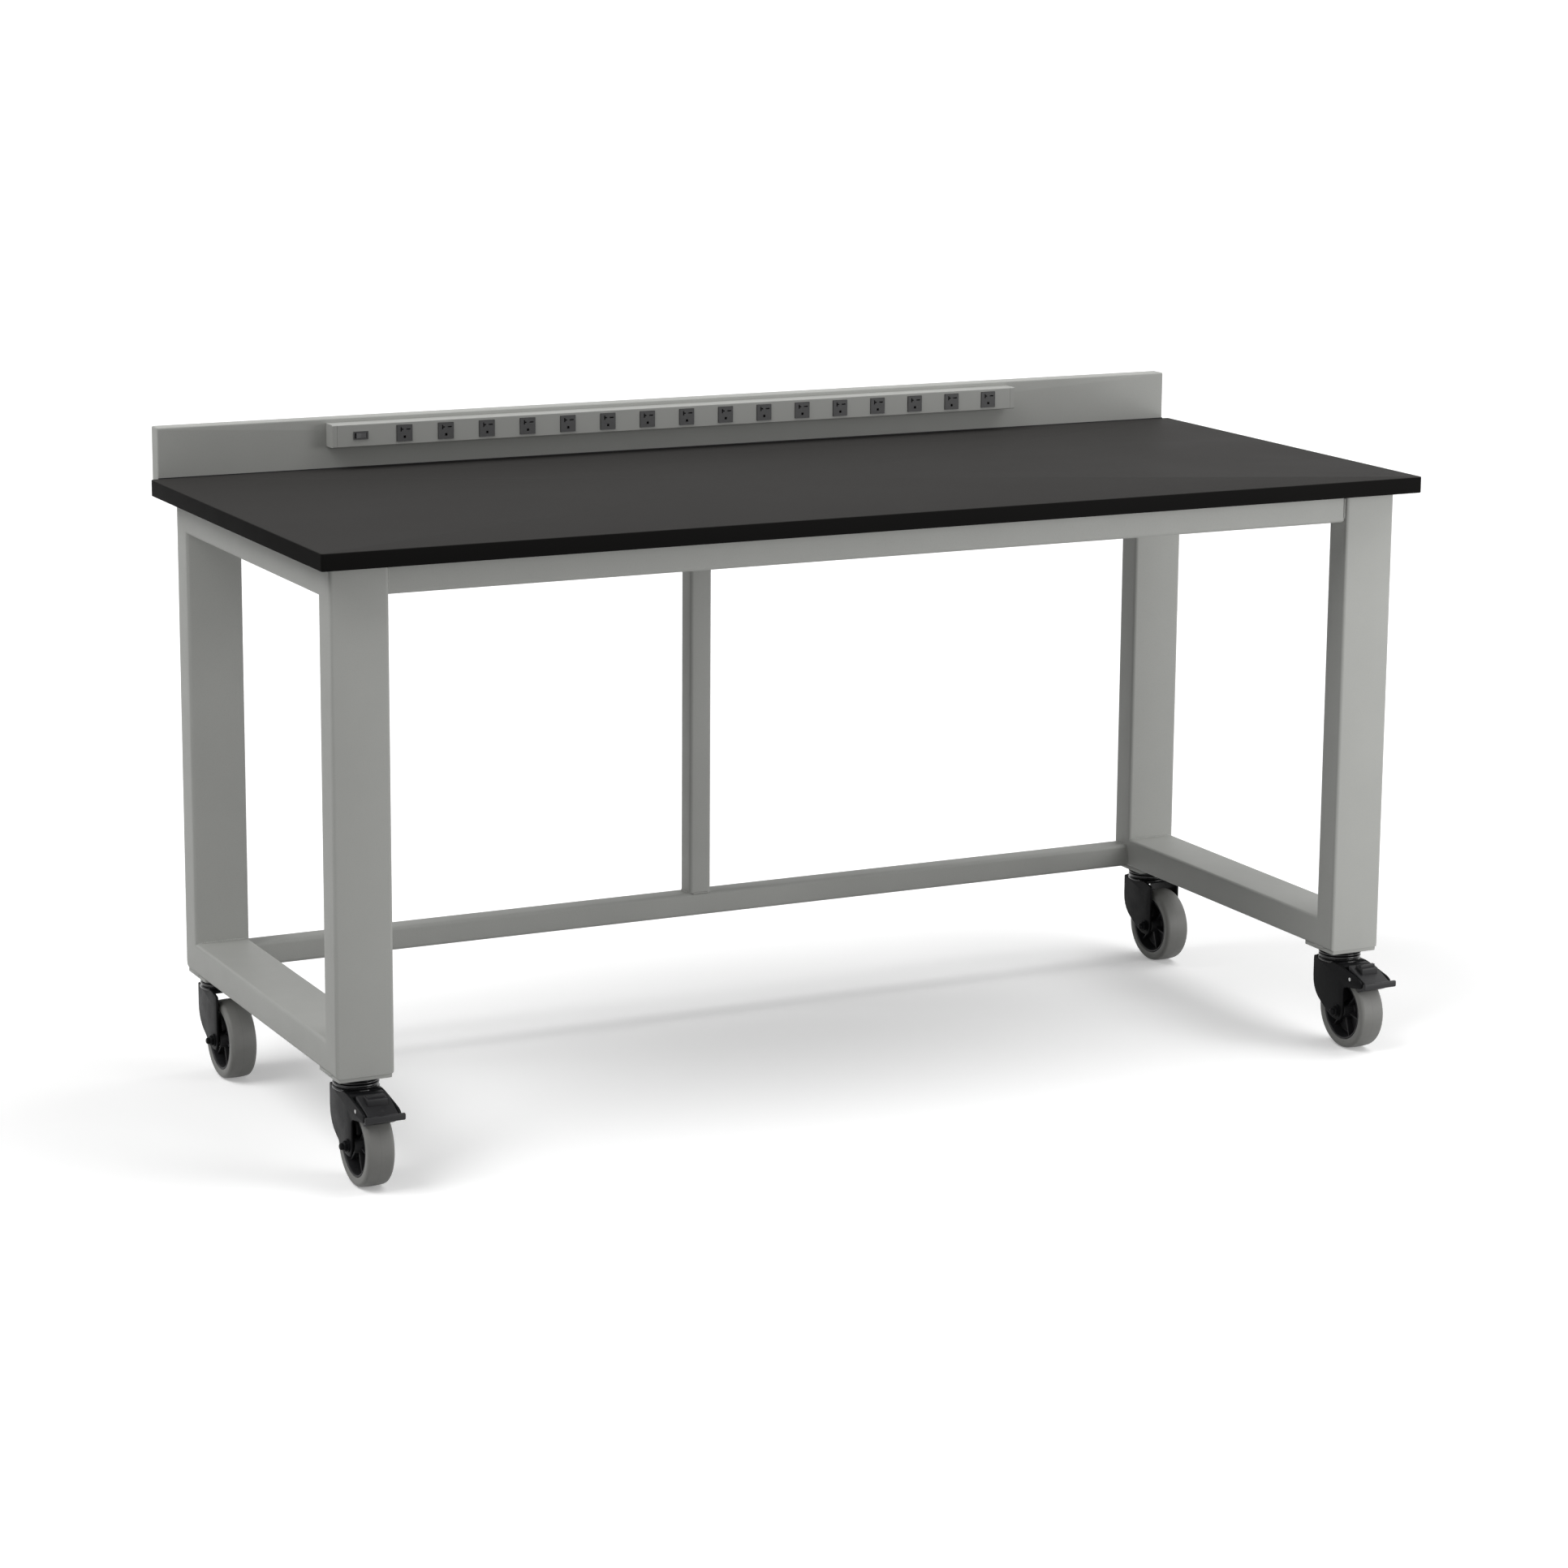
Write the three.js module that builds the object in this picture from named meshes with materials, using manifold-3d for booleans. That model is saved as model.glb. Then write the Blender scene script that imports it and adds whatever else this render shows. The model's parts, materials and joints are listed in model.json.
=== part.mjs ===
// A mobile laboratory bench: two mitred tube hoops carry a black worktop on four swivel casters,
// and a backsplash behind the worktop holds a long outlet strip.
// Millimetres, +Z up, +X along the bench, the user stands at -Y. The origin is on the floor.
import * as THREE from "three";
import { mergeVertices } from "three/addons/utils/BufferGeometryUtils.js";
import Module from "manifold-3d";

// Fits
const seam = 0.3; // gap between two pieces that meet
const past = 1; // how far a cutter or a joined piece runs past a face
const runGap = 0.6; // gap round a turning shaft

// Worktop and backsplash
const worktopLength = 1829;
const worktopDepth = 762;
const worktopThickness = 26;
const worktopCorner = 4;
const worktopEdge = 1.5;
const workingHeight = 930;
const splashInset = 12;
const splashHeight = 79;
const splashDepth = 27;
const splashSheet = 2;

// Tube frame
const sideOverhang = 25;
const frontOverhang = 38;
const rearOverhang = 44;
const hoopTubeWidth = 89;
const hoopTubeDepth = 48;
const tubeWall = 3;
const tubeCorner = 6;
const hoopCorner = 9; // rounding of the hoop's lower rear corner
const crossTube = 38;
const apronHeight = 46;
const apronSetback = 6;
const postOffset = -18; // of the rear post from the bench's middle

// Outlet strip
const stripLength = 1220;
const stripHeight = 36;
const stripDepth = 29;
const stripWall = 2;
const stripOffset = -18;
const stripLift = 36; // underside above the worktop
const stripBevel = 1.2;
const capLength = 8;
const outletCount = 16;
const outletSize = 26;
const outletProud = 1.5;
const outletDepth = 12;
const firstOutlet = 120; // from the strip's left end
const lastOutlet = 51; // from the strip's right end
const outletSlotPlace = 6;
const outletWebInset = 3;
const switchPlace = 47; // from the strip's left end
const switchLength = 21.5;
const switchHeight = 10;
const bezelRim = 1.4;
const bezelWall = 0.8;
const rockerTilt = 8; // degrees
const rockerClear = 1.2;
const rockerDrop = 5;
const rockerFoot = 0.6; // share of the rocker's length at its foot
const busBarCount = 3;
const busBarHeight = 5;
const busBarDepth = 1.5;
const glandRadius = 7;
const glandLength = 16;
const glandPlace = 60; // from the strip's right end, behind the backsplash

// Casters
const casterHeight = 156; // from the floor to the pad
const padSize = 82;
const padThickness = 6;
const casterInset = 42; // pivot from the hoop's outer face
const casterTrail = 38;
const raceRadius = 34;
const raceHeight = 8;
const crownThickness = 5;
const kingpinRadius = 8;
const kingpinNut = 13;
const kingpinNutHeight = 5;
const forkGap = 50; // between the fork's arms
const forkSheet = 4;
const forkRear = 31; // the arm's rear edge behind the pivot
const forkKnee = 88; // height where the rear edge starts to curve forward
const armEnd = 15; // radius round the axle
const wheelRadius = 62;
const tyreWidth = 42;
const tyreShoulder = 6;
const rimRadius = 47;
const rimWall = 4;
const hubWidth = 46;
const bossRadius = 12;
const webThickness = 5;
const ribCount = 6;
const ribThickness = 3;
const ribInset = 5;
const wheelSides = 24;
const raceSides = 16;
const axleRadius = 5;
const axleNut = 8.5;
const axleNutLength = 7;
const axleTail = 5;

// Brake pedals, with places ahead of the pivot and heights above the floor
const pedalPinReach = 72;
const pedalPinHeight = 122.5;
const pedalPinRadius = 3;
const barrelRadius = 6;
const pedalReach = 112;
const pedalLipHeight = 119;
const pedalRearReach = 60;
const pedalRearHeight = 141;
const pedalWidth = 62;
const pedalSide = 1.5; // clearance to the arms
const lipHeight = 10;
const lipThickness = 6;
const shoeGap = 1.5;
const shoeReach = 86;
const ridgeWidth = 30;
const ridgeHeight = 6;
const ridgeReach = [66, 85];
const lugReach = 103;
const lugHeight = 131;
const lugFoot = 109;

// Places worked out from the sizes
const hoopTop = workingHeight - worktopThickness;
const hoopBottom = casterHeight + padThickness;
const hoopHeight = hoopTop - hoopBottom;
const hoopDepth = worktopDepth - frontOverhang - rearOverhang;
const hoopRear = frontOverhang + hoopDepth;
const hoopMiddle = worktopLength / 2 - sideOverhang - hoopTubeWidth / 2;
const hoopInner = hoopMiddle - hoopTubeWidth / 2;
const outletPitch = (stripLength - firstOutlet - lastOutlet) / (outletCount - 1);

const wasm = await Module();
wasm.setup();

function solidOf(geometry) {
  const bare = geometry.clone();
  bare.deleteAttribute("normal");
  bare.deleteAttribute("uv");
  const merged = mergeVertices(bare, 1e-4);
  return new wasm.Manifold(
    new wasm.Mesh({
      numProp: 3,
      vertProperties: merged.attributes.position.array,
      triVerts: new Uint32Array(merged.index.array),
    }),
  );
}

function geometryOf(solid) {
  const mesh = solid.getMesh();
  const geometry = new THREE.BufferGeometry();
  geometry.setAttribute("position", new THREE.BufferAttribute(mesh.vertProperties, 3));
  geometry.setIndex(new THREE.BufferAttribute(mesh.triVerts, 1));
  geometry.computeVertexNormals();
  return geometry;
}

function join(first, ...rest) {
  return geometryOf(rest.reduce((whole, piece) => whole.add(solidOf(piece)), solidOf(first)));
}

function cut(first, ...rest) {
  return geometryOf(rest.reduce((whole, piece) => whole.subtract(solidOf(piece)), solidOf(first)));
}

function block(x0, x1, y0, y1, z0, z1) {
  const geometry = new THREE.BoxGeometry(x1 - x0, y1 - y0, z1 - z0);
  return geometry.translate((x0 + x1) / 2, (y0 + y1) / 2, (z0 + z1) / 2);
}

// A closed profile of [radius, height] points turned about +Z.
function turned(profile, segments) {
  const points = profile.map(([radius, height]) => new THREE.Vector2(radius, height));
  return new THREE.LatheGeometry(points, segments).rotateX(Math.PI / 2);
}

function rod(radius, from, to, segments = 16) {
  return turned([[0, from], [radius, from], [radius, to], [0, to]], segments);
}

function roundedRectangle(width, height, radius, path = new THREE.Shape()) {
  const x = width / 2 - radius;
  const y = height / 2 - radius;
  path.absarc(x, y, radius, 0, Math.PI / 2);
  path.absarc(-x, y, radius, Math.PI / 2, Math.PI);
  path.absarc(-x, -y, radius, Math.PI, Math.PI * 1.5);
  path.absarc(x, -y, radius, Math.PI * 1.5, Math.PI * 2);
  path.closePath();
  return path;
}

// A square-ended or mitred tube along +Z, with its first face on the plane y = 0.
function tube(width, depth, length, mitred = false) {
  const section = roundedRectangle(width, depth, tubeCorner);
  const [boreWidth, boreDepth] = [width - 2 * tubeWall, depth - 2 * tubeWall];
  section.holes.push(roundedRectangle(boreWidth, boreDepth, tubeCorner - tubeWall, new THREE.Path()));
  const settings = { depth: length, bevelEnabled: false, curveSegments: 2 };
  const geometry = new THREE.ExtrudeGeometry(section, settings).translate(0, depth / 2, 0);
  if (mitred) {
    const place = geometry.attributes.position;
    for (let i = 0; i < place.count; i++) {
      const slant = place.getY(i) + seam;
      place.setZ(i, place.getZ(i) < length / 2 ? slant : length - slant);
    }
  }
  return geometry;
}

// Materials
function finish(color, roughness, metalness) {
  return () => new THREE.MeshStandardMaterial({ color, roughness, metalness });
}
const paintedSteel = finish(0x9c9d97, 0.45, 0.1);
const blackTop = finish(0x3f3e3d, 0.5, 0);
const stripPaint = finish(0x9fa09b, 0.4, 0.1);
const darkPlastic = finish(0x4a4a4b, 0.5, 0);
const greyPlastic = finish(0x77787a, 0.45, 0);
const blackSteel = finish(0x17181a, 0.25, 0.3);
const greyRubber = finish(0x737370, 0.75, 0);
const blackPlastic = finish(0x141416, 0.45, 0);
const brightSteel = finish(0xb4b5b7, 0.3, 1);
const brass = finish(0xb08d4f, 0.35, 1);

const bench = new THREE.Group();

function add(parent, name, geometry, material, position = [0, 0, 0], rotation = [0, 0, 0]) {
  const mesh = new THREE.Mesh(geometry, material());
  mesh.name = name;
  mesh.position.set(...position);
  mesh.rotation.set(...rotation);
  parent.add(mesh);
}

// The four tubes of a hoop meet in mitres; the lower rear corner is rounded over.
function hoop(side, x) {
  const leg = tube(hoopTubeWidth, hoopTubeDepth, hoopHeight, true);
  const rail = tube(hoopTubeWidth, hoopTubeDepth, hoopDepth, true);
  const nose = new THREE.CylinderGeometry(hoopCorner, hoopCorner, hoopTubeWidth + 2 * past, 24);
  nose.rotateZ(Math.PI / 2).translate(0, hoopCorner, hoopCorner);
  const reach = hoopTubeWidth / 2 + past;
  const corner = cut(block(-reach, reach, -past, hoopCorner, -past, hoopCorner), nose);
  const rearLeg = cut(leg, corner);
  const lowerRail = cut(rail, corner);
  add(bench, `leg_front_${side}`, leg, paintedSteel, [x, frontOverhang, hoopBottom]);
  add(bench, `leg_rear_${side}`, rearLeg, paintedSteel, [x, hoopRear, hoopBottom], [0, 0, Math.PI]);
  add(bench, `rail_bottom_${side}`, lowerRail, paintedSteel, [x, hoopRear, hoopBottom], [Math.PI / 2, 0, 0]);
  add(bench, `rail_top_${side}`, rail, paintedSteel, [x, frontOverhang, hoopTop], [-Math.PI / 2, 0, 0]);
}

// Tubes between the hoops
function crossTubes() {
  const span = 2 * (hoopInner - seam);
  const alongX = [Math.PI / 2, Math.PI / 2, 0];
  const rail = tube(crossTube, apronHeight, span);
  const left = -span / 2;
  const railBottom = hoopTop - seam - apronHeight;
  const rearY = hoopRear - hoopTubeDepth / 2;
  const frontY = frontOverhang + apronSetback + crossTube / 2;
  add(bench, "front_apron", rail, paintedSteel, [left, frontY, railBottom], alongX);
  add(bench, "rear_top_rail", rail, paintedSteel, [left, rearY, railBottom], alongX);
  const stretcher = tube(crossTube, crossTube, span);
  add(bench, "rear_stretcher", stretcher, paintedSteel, [left, rearY, hoopBottom], alongX);
  const postBottom = hoopBottom + crossTube + seam;
  const post = tube(crossTube, crossTube, railBottom - seam - postBottom);
  add(bench, "rear_post", post, paintedSteel, [postOffset, rearY - crossTube / 2, postBottom]);
}

function worktop() {
  const outline = roundedRectangle(worktopLength, worktopDepth, worktopCorner);
  const slab = new THREE.ExtrudeGeometry(outline, {
    depth: worktopThickness - seam - 2 * worktopEdge,
    bevelThickness: worktopEdge,
    bevelSize: worktopEdge,
    bevelOffset: -worktopEdge,
    bevelSegments: 2,
    curveSegments: 3,
  });
  add(bench, "worktop", slab, blackTop, [0, worktopDepth / 2, hoopTop + seam + worktopEdge]);
}

// A folded channel, open at the back, that stands behind the worktop's rear edge.
function backsplash() {
  const half = worktopLength / 2 - splashInset;
  const front = worktopDepth + seam;
  const top = workingHeight + splashHeight;
  const outer = block(-half, half, front, front + splashDepth, hoopTop, top);
  const inner = block(
    splashSheet - half,
    half - splashSheet,
    front + splashSheet,
    front + splashDepth + past,
    hoopTop + splashSheet,
    top - splashSheet,
  );
  add(bench, "backsplash", cut(outer, inner), paintedSteel);
}

// Places along the strip are measured from its left end.
const stripLeft = stripOffset - stripLength / 2;
const stripBack = worktopDepth;
const stripFront = stripBack - stripDepth;
const stripBottom = workingHeight + stripLift;
const stripMiddle = stripBottom + stripHeight / 2;
const bodyLeft = stripLeft + capLength + seam;
const bodyRight = stripLeft + stripLength - capLength - seam;
const outletPlaces = Array.from({ length: outletCount }, (_, i) => stripLeft + firstOutlet + i * outletPitch);
const switchX = stripLeft + switchPlace;

// The strip's section with bevelled front edges, drawn in (y, z) and carried along +X.
function stripSection(inset, length) {
  const back = stripDepth - inset;
  const top = stripHeight - inset;
  const section = new THREE.Shape();
  section.moveTo(back, inset);
  section.lineTo(back, top);
  section.lineTo(inset + stripBevel, top);
  section.lineTo(inset, top - stripBevel);
  section.lineTo(inset, inset + stripBevel);
  section.lineTo(inset + stripBevel, inset);
  section.closePath();
  const geometry = new THREE.ExtrudeGeometry(section, { depth: length, bevelEnabled: false });
  return geometry.rotateX(Math.PI / 2).rotateZ(Math.PI / 2).translate(0, stripFront, stripBottom);
}

function outletStrip() {
  const length = bodyRight - bodyLeft;
  const window = (x, width, height) => {
    const [halfX, halfZ] = [width / 2 + seam, height / 2 + seam];
    const back = stripFront + stripWall + past;
    return block(x - halfX, x + halfX, stripFront - past, back, stripMiddle - halfZ, stripMiddle + halfZ);
  };
  const windows = outletPlaces.map((x) => window(x, outletSize, outletSize));
  windows.push(window(switchX, switchLength, switchHeight));
  const hollow = stripSection(stripWall, length + 2 * past).translate(bodyLeft - past, 0, 0);
  const housing = cut(stripSection(0, length).translate(bodyLeft, 0, 0), hollow, ...windows);
  add(bench, "strip_housing", housing, stripPaint);

  const cap = stripSection(0, capLength);
  add(bench, "strip_cap_left", cap, stripPaint, [stripLeft, 0, 0]);
  add(bench, "strip_cap_right", cap, stripPaint, [bodyRight + seam, 0, 0]);
  // The cord would leave through the backsplash, so its gland sits in the channel behind.
  const gland = rod(glandRadius, 0, glandLength).rotateX(-Math.PI / 2);
  const glandFront = worktopDepth + splashSheet + 2 * seam;
  const glandX = stripLeft + stripLength - glandPlace;
  add(bench, "cord_gland", gland, blackPlastic, [glandX, glandFront, stripMiddle]);
}

// One moulded carrier holds all the outlet faces, each with a T slot, a level slot and an earth hole.
function outletCarrier() {
  const slotDepth = 6;
  const slotLong = 7;
  const slotThin = 2;
  const earthSize = 4;
  const face = stripFront - outletProud;
  const back = stripFront + outletDepth;
  const webHeight = outletSize - 2 * outletWebInset;
  const webFront = stripFront + stripWall + seam;
  const ends = outletSize / 2 + outletWebInset;
  const first = outletPlaces[0] - ends;
  const last = outletPlaces[outletCount - 1] + ends;
  const web = block(first, last, webFront, back, stripMiddle - webHeight / 2, stripMiddle + webHeight / 2);
  const half = outletSize / 2;
  const faces = outletPlaces.map((x) =>
    block(x - half, x + half, face, webFront + past, stripMiddle - half, stripMiddle + half),
  );
  const slot = (x, z, width, height) =>
    block(x - width / 2, x + width / 2, face - past, face + slotDepth, z - height / 2, z + height / 2);
  const upper = stripMiddle + outletSlotPlace;
  const slots = outletPlaces.flatMap((x) => [
    slot(x - outletSlotPlace, upper, slotThin, slotLong),
    slot(x - outletSlotPlace + slotThin, upper, slotLong / 2, slotThin),
    slot(x + outletSlotPlace, upper, slotLong, slotThin),
    slot(x, stripMiddle - outletSlotPlace, earthSize, earthSize),
  ]);
  add(bench, "outlet_carrier", cut(join(web, ...faces), ...slots), darkPlastic);

  // Conductor bars lie in the hollow behind the carrier.
  const barFront = back + seam;
  const pitch = webHeight / busBarCount;
  ["line", "neutral", "earth"].slice(0, busBarCount).forEach((name, i) => {
    const z = stripMiddle + (i - (busBarCount - 1) / 2) * pitch;
    const half = busBarHeight / 2;
    const bar = block(first, last, barFront, barFront + busBarDepth, z - half, z + half);
    add(bench, `bus_bar_${name}`, bar, brass);
  });
}

// The rocker is a shallow V that tips about an upright pin in its bezel.
function powerSwitch() {
  const outX = switchLength / 2 + bezelRim;
  const outZ = switchHeight / 2 + bezelRim;
  const flange = block(-outX, outX, stripFront - bezelRim, stripFront - seam, -outZ, outZ);
  const throat = block(
    -switchLength / 2,
    switchLength / 2,
    stripFront - seam - past,
    stripFront + outletDepth,
    -switchHeight / 2,
    switchHeight / 2,
  );
  const inX = switchLength / 2 - bezelWall;
  const inZ = switchHeight / 2 - bezelWall;
  const well = block(-inX, inX, stripFront - bezelRim - past, stripFront + outletDepth - bezelWall, -inZ, inZ);
  const bezel = cut(join(flange, throat), well);
  add(bench, "switch_bezel", bezel, blackPlastic, [switchX, 0, stripMiddle]);

  const tip = inX - rockerClear;
  const slope = Math.tan(THREE.MathUtils.degToRad(rockerTilt));
  const rocker = new THREE.Shape();
  rocker.moveTo(-tip, -tip * slope * 2);
  rocker.lineTo(0, 0);
  rocker.lineTo(tip, 0);
  rocker.lineTo(tip * rockerFoot, rockerDrop);
  rocker.lineTo(-tip * rockerFoot, rockerDrop);
  rocker.closePath();
  const depth = 2 * (inZ - seam);
  const geometry = new THREE.ExtrudeGeometry(rocker, { depth, bevelEnabled: false });
  geometry.translate(0, 0, -depth / 2);
  add(bench, "rocker_switch", geometry, greyPlastic, [switchX, stripFront - bezelRim, stripMiddle]);
}

// Heights on a caster, from the floor up
const raceTop = casterHeight - seam;
const raceBottom = raceTop - raceHeight;
const crownTop = raceBottom - seam - raceHeight;
const crownBottom = crownTop - crownThickness;

// A groove runs round each race.
function raceProfile(bore, bottom, top) {
  const groove = 2;
  const chamfer = 1;
  const middle = (bottom + top) / 2;
  return [
    [bore, bottom],
    [raceRadius - chamfer, bottom],
    [raceRadius, bottom + chamfer],
    [raceRadius, middle - chamfer],
    [raceRadius - groove, middle],
    [raceRadius - groove, top - chamfer],
    [raceRadius - groove - chamfer, top],
    [bore, top],
  ];
}

function upperRace() {
  const pinBottom = crownBottom - seam - kingpinNutHeight - past;
  const pin = [[0, pinBottom], [kingpinRadius, pinBottom]];
  const race = raceProfile(kingpinRadius, raceBottom, raceTop).slice(0, -1);
  return turned([...pin, ...race, [0, raceTop]], raceSides);
}

// An arm falls from the crown, curves forward and ends round the axle. A braked one reaches out to the pedal.
function armOutline(braked) {
  const axleY = -casterTrail;
  const axleZ = wheelRadius;
  const frontY = axleY - armEnd;
  const arm = new THREE.Shape();
  arm.moveTo(forkRear, crownTop);
  arm.lineTo(-raceRadius, crownTop);
  if (braked) {
    arm.lineTo(frontY, lugHeight);
    arm.lineTo(-pedalPinReach, lugHeight);
    arm.quadraticCurveTo(-lugReach, lugHeight - lipHeight / 2, -lugReach, pedalLipHeight - lipHeight / 2);
    arm.lineTo(frontY - armEnd / 2, lugFoot);
    arm.lineTo(frontY, lugFoot - armEnd / 2);
  } else {
    arm.lineTo(frontY, crownBottom);
  }
  arm.absarc(axleY, axleZ, armEnd, Math.PI, Math.PI * 1.75, false);
  arm.quadraticCurveTo(forkRear, axleZ, forkRear, forkKnee);
  arm.closePath();
  const hole = new THREE.Path();
  hole.absarc(axleY, axleZ, axleRadius + runGap, 0, Math.PI * 2);
  arm.holes.push(hole);
  if (braked) {
    const pinHole = new THREE.Path();
    pinHole.absarc(-pedalPinReach, pedalPinHeight, pedalPinRadius + runGap, 0, Math.PI * 2);
    arm.holes.push(pinHole);
  }
  return arm;
}

// Carries an outline drawn in (y, z) along +X from x0 to x1.
function acrossX(shape, x0, x1, curveSegments = 4) {
  const geometry = new THREE.ExtrudeGeometry(shape, { depth: x1 - x0, bevelEnabled: false, curveSegments });
  return geometry.rotateX(Math.PI / 2).rotateZ(Math.PI / 2).translate(x0, 0, 0);
}

function fork(braked) {
  const inner = forkGap / 2;
  const arm = armOutline(braked);
  const bore = kingpinRadius + runGap;
  const race = turned([...raceProfile(bore, crownTop, crownTop + raceHeight), [bore, crownTop]], raceSides);
  const bridgeHole = rod(bore, crownBottom - past, crownTop + past, raceSides);
  const crown = cut(rod(raceRadius, crownBottom, crownTop, raceSides), bridgeHole);
  const bridge = block(-inner - past, inner + past, -raceRadius, forkRear, crownBottom, crownTop);
  return join(
    cut(bridge, bridgeHole),
    crown,
    race,
    acrossX(arm, -inner - forkSheet, -inner),
    acrossX(arm, inner, inner + forkSheet),
  );
}

function tyreProfile() {
  const half = tyreWidth / 2;
  const inner = rimRadius + seam;
  const centreX = half - tyreShoulder;
  const centreR = wheelRadius - tyreShoulder;
  const steps = 4;
  const right = Array.from({ length: steps + 1 }, (_, i) => {
    const angle = ((1 - i / steps) * Math.PI) / 2;
    return [centreR + tyreShoulder * Math.sin(angle), centreX + tyreShoulder * Math.cos(angle)];
  });
  const left = right.map(([radius, x]) => [radius, -x]).reverse();
  return [[inner, -half], ...left, ...right, [inner, half], [inner, -half]];
}

function hubSolid() {
  const half = tyreWidth / 2;
  const boss = hubWidth / 2;
  const inner = rimRadius - rimWall;
  const web = webThickness / 2;
  const bore = axleRadius + runGap;
  const body = turned(
    [
      [bore, -boss],
      [bossRadius, -boss],
      [bossRadius + 2, -web],
      [inner, -web],
      [inner, -half],
      [rimRadius, -half],
      [rimRadius, half],
      [inner, half],
      [inner, web],
      [bossRadius + 2, web],
      [bossRadius, boss],
      [bore, boss],
      [bore, -boss],
    ],
    wheelSides,
  );
  const ribDepth = half - ribInset;
  const ribs = Array.from({ length: ribCount }, (_, i) => {
    const side = ribThickness / 2;
    const rib = block(bossRadius - past, inner + past, -side, side, -ribDepth, ribDepth);
    return rib.rotateZ((i * 2 * Math.PI) / ribCount);
  });
  return join(body, ...ribs);
}

// The axle bolt runs along its own +Z, with a hexagon at both ends and a short tail.
function axleSolid() {
  const arm = forkGap / 2 + forkSheet + seam;
  const nutEnd = arm + axleNutLength;
  const shank = rod(axleRadius, -arm - past, nutEnd + axleTail, 14);
  const head = rod(axleNut, -nutEnd, -arm, 6);
  const nut = rod(axleNut, arm, nutEnd, 6);
  return join(shank, head, nut);
}

// The pedal is a wedge between the arms: its plate slopes down to a broad lip, and its shoe follows the tyre.
function pedalSolid() {
  const inner = forkGap / 2 - pedalSide;
  const half = pedalWidth / 2;
  const [pinY, pinZ] = [-pedalPinReach, pedalPinHeight];
  const [tipY, tipZ] = [-pedalReach, pedalLipHeight];
  const fall = (pedalRearHeight - tipZ) / (pedalReach - pedalRearReach);
  const plateAt = (reach) => tipZ + (pedalReach - reach) * fall;
  const shoeRadius = wheelRadius + shoeGap;
  const shoeAngle = (reach) => Math.acos((casterTrail - reach) / shoeRadius);
  const wedge = new THREE.Shape();
  wedge.moveTo(-pedalRearReach, pedalRearHeight);
  wedge.lineTo(tipY, tipZ);
  wedge.lineTo(tipY, tipZ - lipHeight / 2);
  const [toeAngle, heelAngle] = [shoeAngle(shoeReach), shoeAngle(pedalPinReach)];
  wedge.absarc(-casterTrail, wheelRadius, shoeRadius, toeAngle, heelAngle, true);
  wedge.lineTo(-pedalRearReach, pinZ + barrelRadius);
  wedge.closePath();
  const ridge = new THREE.Shape();
  const [ridgeRear, ridgeFront] = ridgeReach;
  ridge.moveTo(-ridgeRear, plateAt(ridgeRear) - past);
  ridge.lineTo(-ridgeRear, plateAt(ridgeRear) + ridgeHeight / 2);
  ridge.lineTo(-ridgeFront, plateAt(ridgeFront) + ridgeHeight);
  ridge.lineTo(-ridgeFront, plateAt(ridgeFront) - past);
  ridge.closePath();
  const barrel = rod(barrelRadius, -inner, inner, 14).rotateY(Math.PI / 2).translate(0, pinY, pinZ);
  const lipHalf = lipThickness / 2;
  const lip = block(-half, half, tipY - lipHalf, tipY + lipHalf, tipZ - lipHeight / 2, tipZ + lipHeight / 2);
  const ridgeSolid = acrossX(ridge, -ridgeWidth / 2, ridgeWidth / 2);
  const body = join(acrossX(wedge, -inner, inner, 6), barrel, lip, ridgeSolid);
  const hole = rod(pedalPinRadius + seam, -half - past, half + past, 14);
  return cut(body, hole.rotateY(Math.PI / 2).translate(0, pinY, pinZ));
}

function caster(corner, x, y, turnDegrees, braked) {
  const group = new THREE.Group();
  group.position.set(x, y, 0);
  group.rotation.z = THREE.MathUtils.degToRad(turnDegrees);
  bench.add(group);
  const axle = [0, -casterTrail, wheelRadius];
  const onX = [0, Math.PI / 2, 0];
  const onLeft = [0, -Math.PI / 2, 0];
  add(group, `caster_race_${corner}`, upperRace(), blackSteel);
  const nutBore = rod(kingpinRadius + runGap, -past, kingpinNutHeight + past, raceSides);
  const nut = cut(rod(kingpinNut, 0, kingpinNutHeight, 6), nutBore);
  add(group, `kingpin_nut_${corner}`, nut, brightSteel, [0, 0, crownBottom - seam - kingpinNutHeight]);
  add(group, `caster_fork_${corner}`, fork(braked), blackSteel);
  add(group, `wheel_axle_${corner}`, axleSolid(), blackSteel, axle, onLeft);
  add(group, `wheel_hub_${corner}`, hubSolid(), blackPlastic, axle, onX);
  add(group, `tyre_${corner}`, turned(tyreProfile(), wheelSides), greyRubber, axle, onX);
  if (braked) {
    const reach = forkGap / 2 + forkSheet + past;
    const pin = rod(pedalPinRadius, -reach, reach, 12).rotateY(Math.PI / 2);
    add(group, `pedal_pin_${corner}`, pin, brightSteel, [0, -pedalPinReach, pedalPinHeight]);
    add(group, `brake_pedal_${corner}`, pedalSolid(), blackPlastic);
  }
}

// Each corner has a pad welded under the hoop and a caster below it.
function corners() {
  const front = frontOverhang + casterInset;
  const rear = hoopRear - casterInset;
  const places = [
    ["front_left", -hoopMiddle, front, 1, true],
    ["front_right", hoopMiddle, front, 1, true],
    ["rear_left", -hoopMiddle, rear, 1, false],
    ["rear_right", hoopMiddle, rear, 2, false],
  ];
  places.forEach(([corner, x, y, turnDegrees, braked]) => {
    const half = padSize / 2;
    const pad = block(-half, half, -half, half, casterHeight, hoopBottom - seam);
    add(bench, `caster_pad_${corner}`, pad, paintedSteel, [x, y, 0]);
    caster(corner, x, y, turnDegrees, braked);
  });
}

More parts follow.
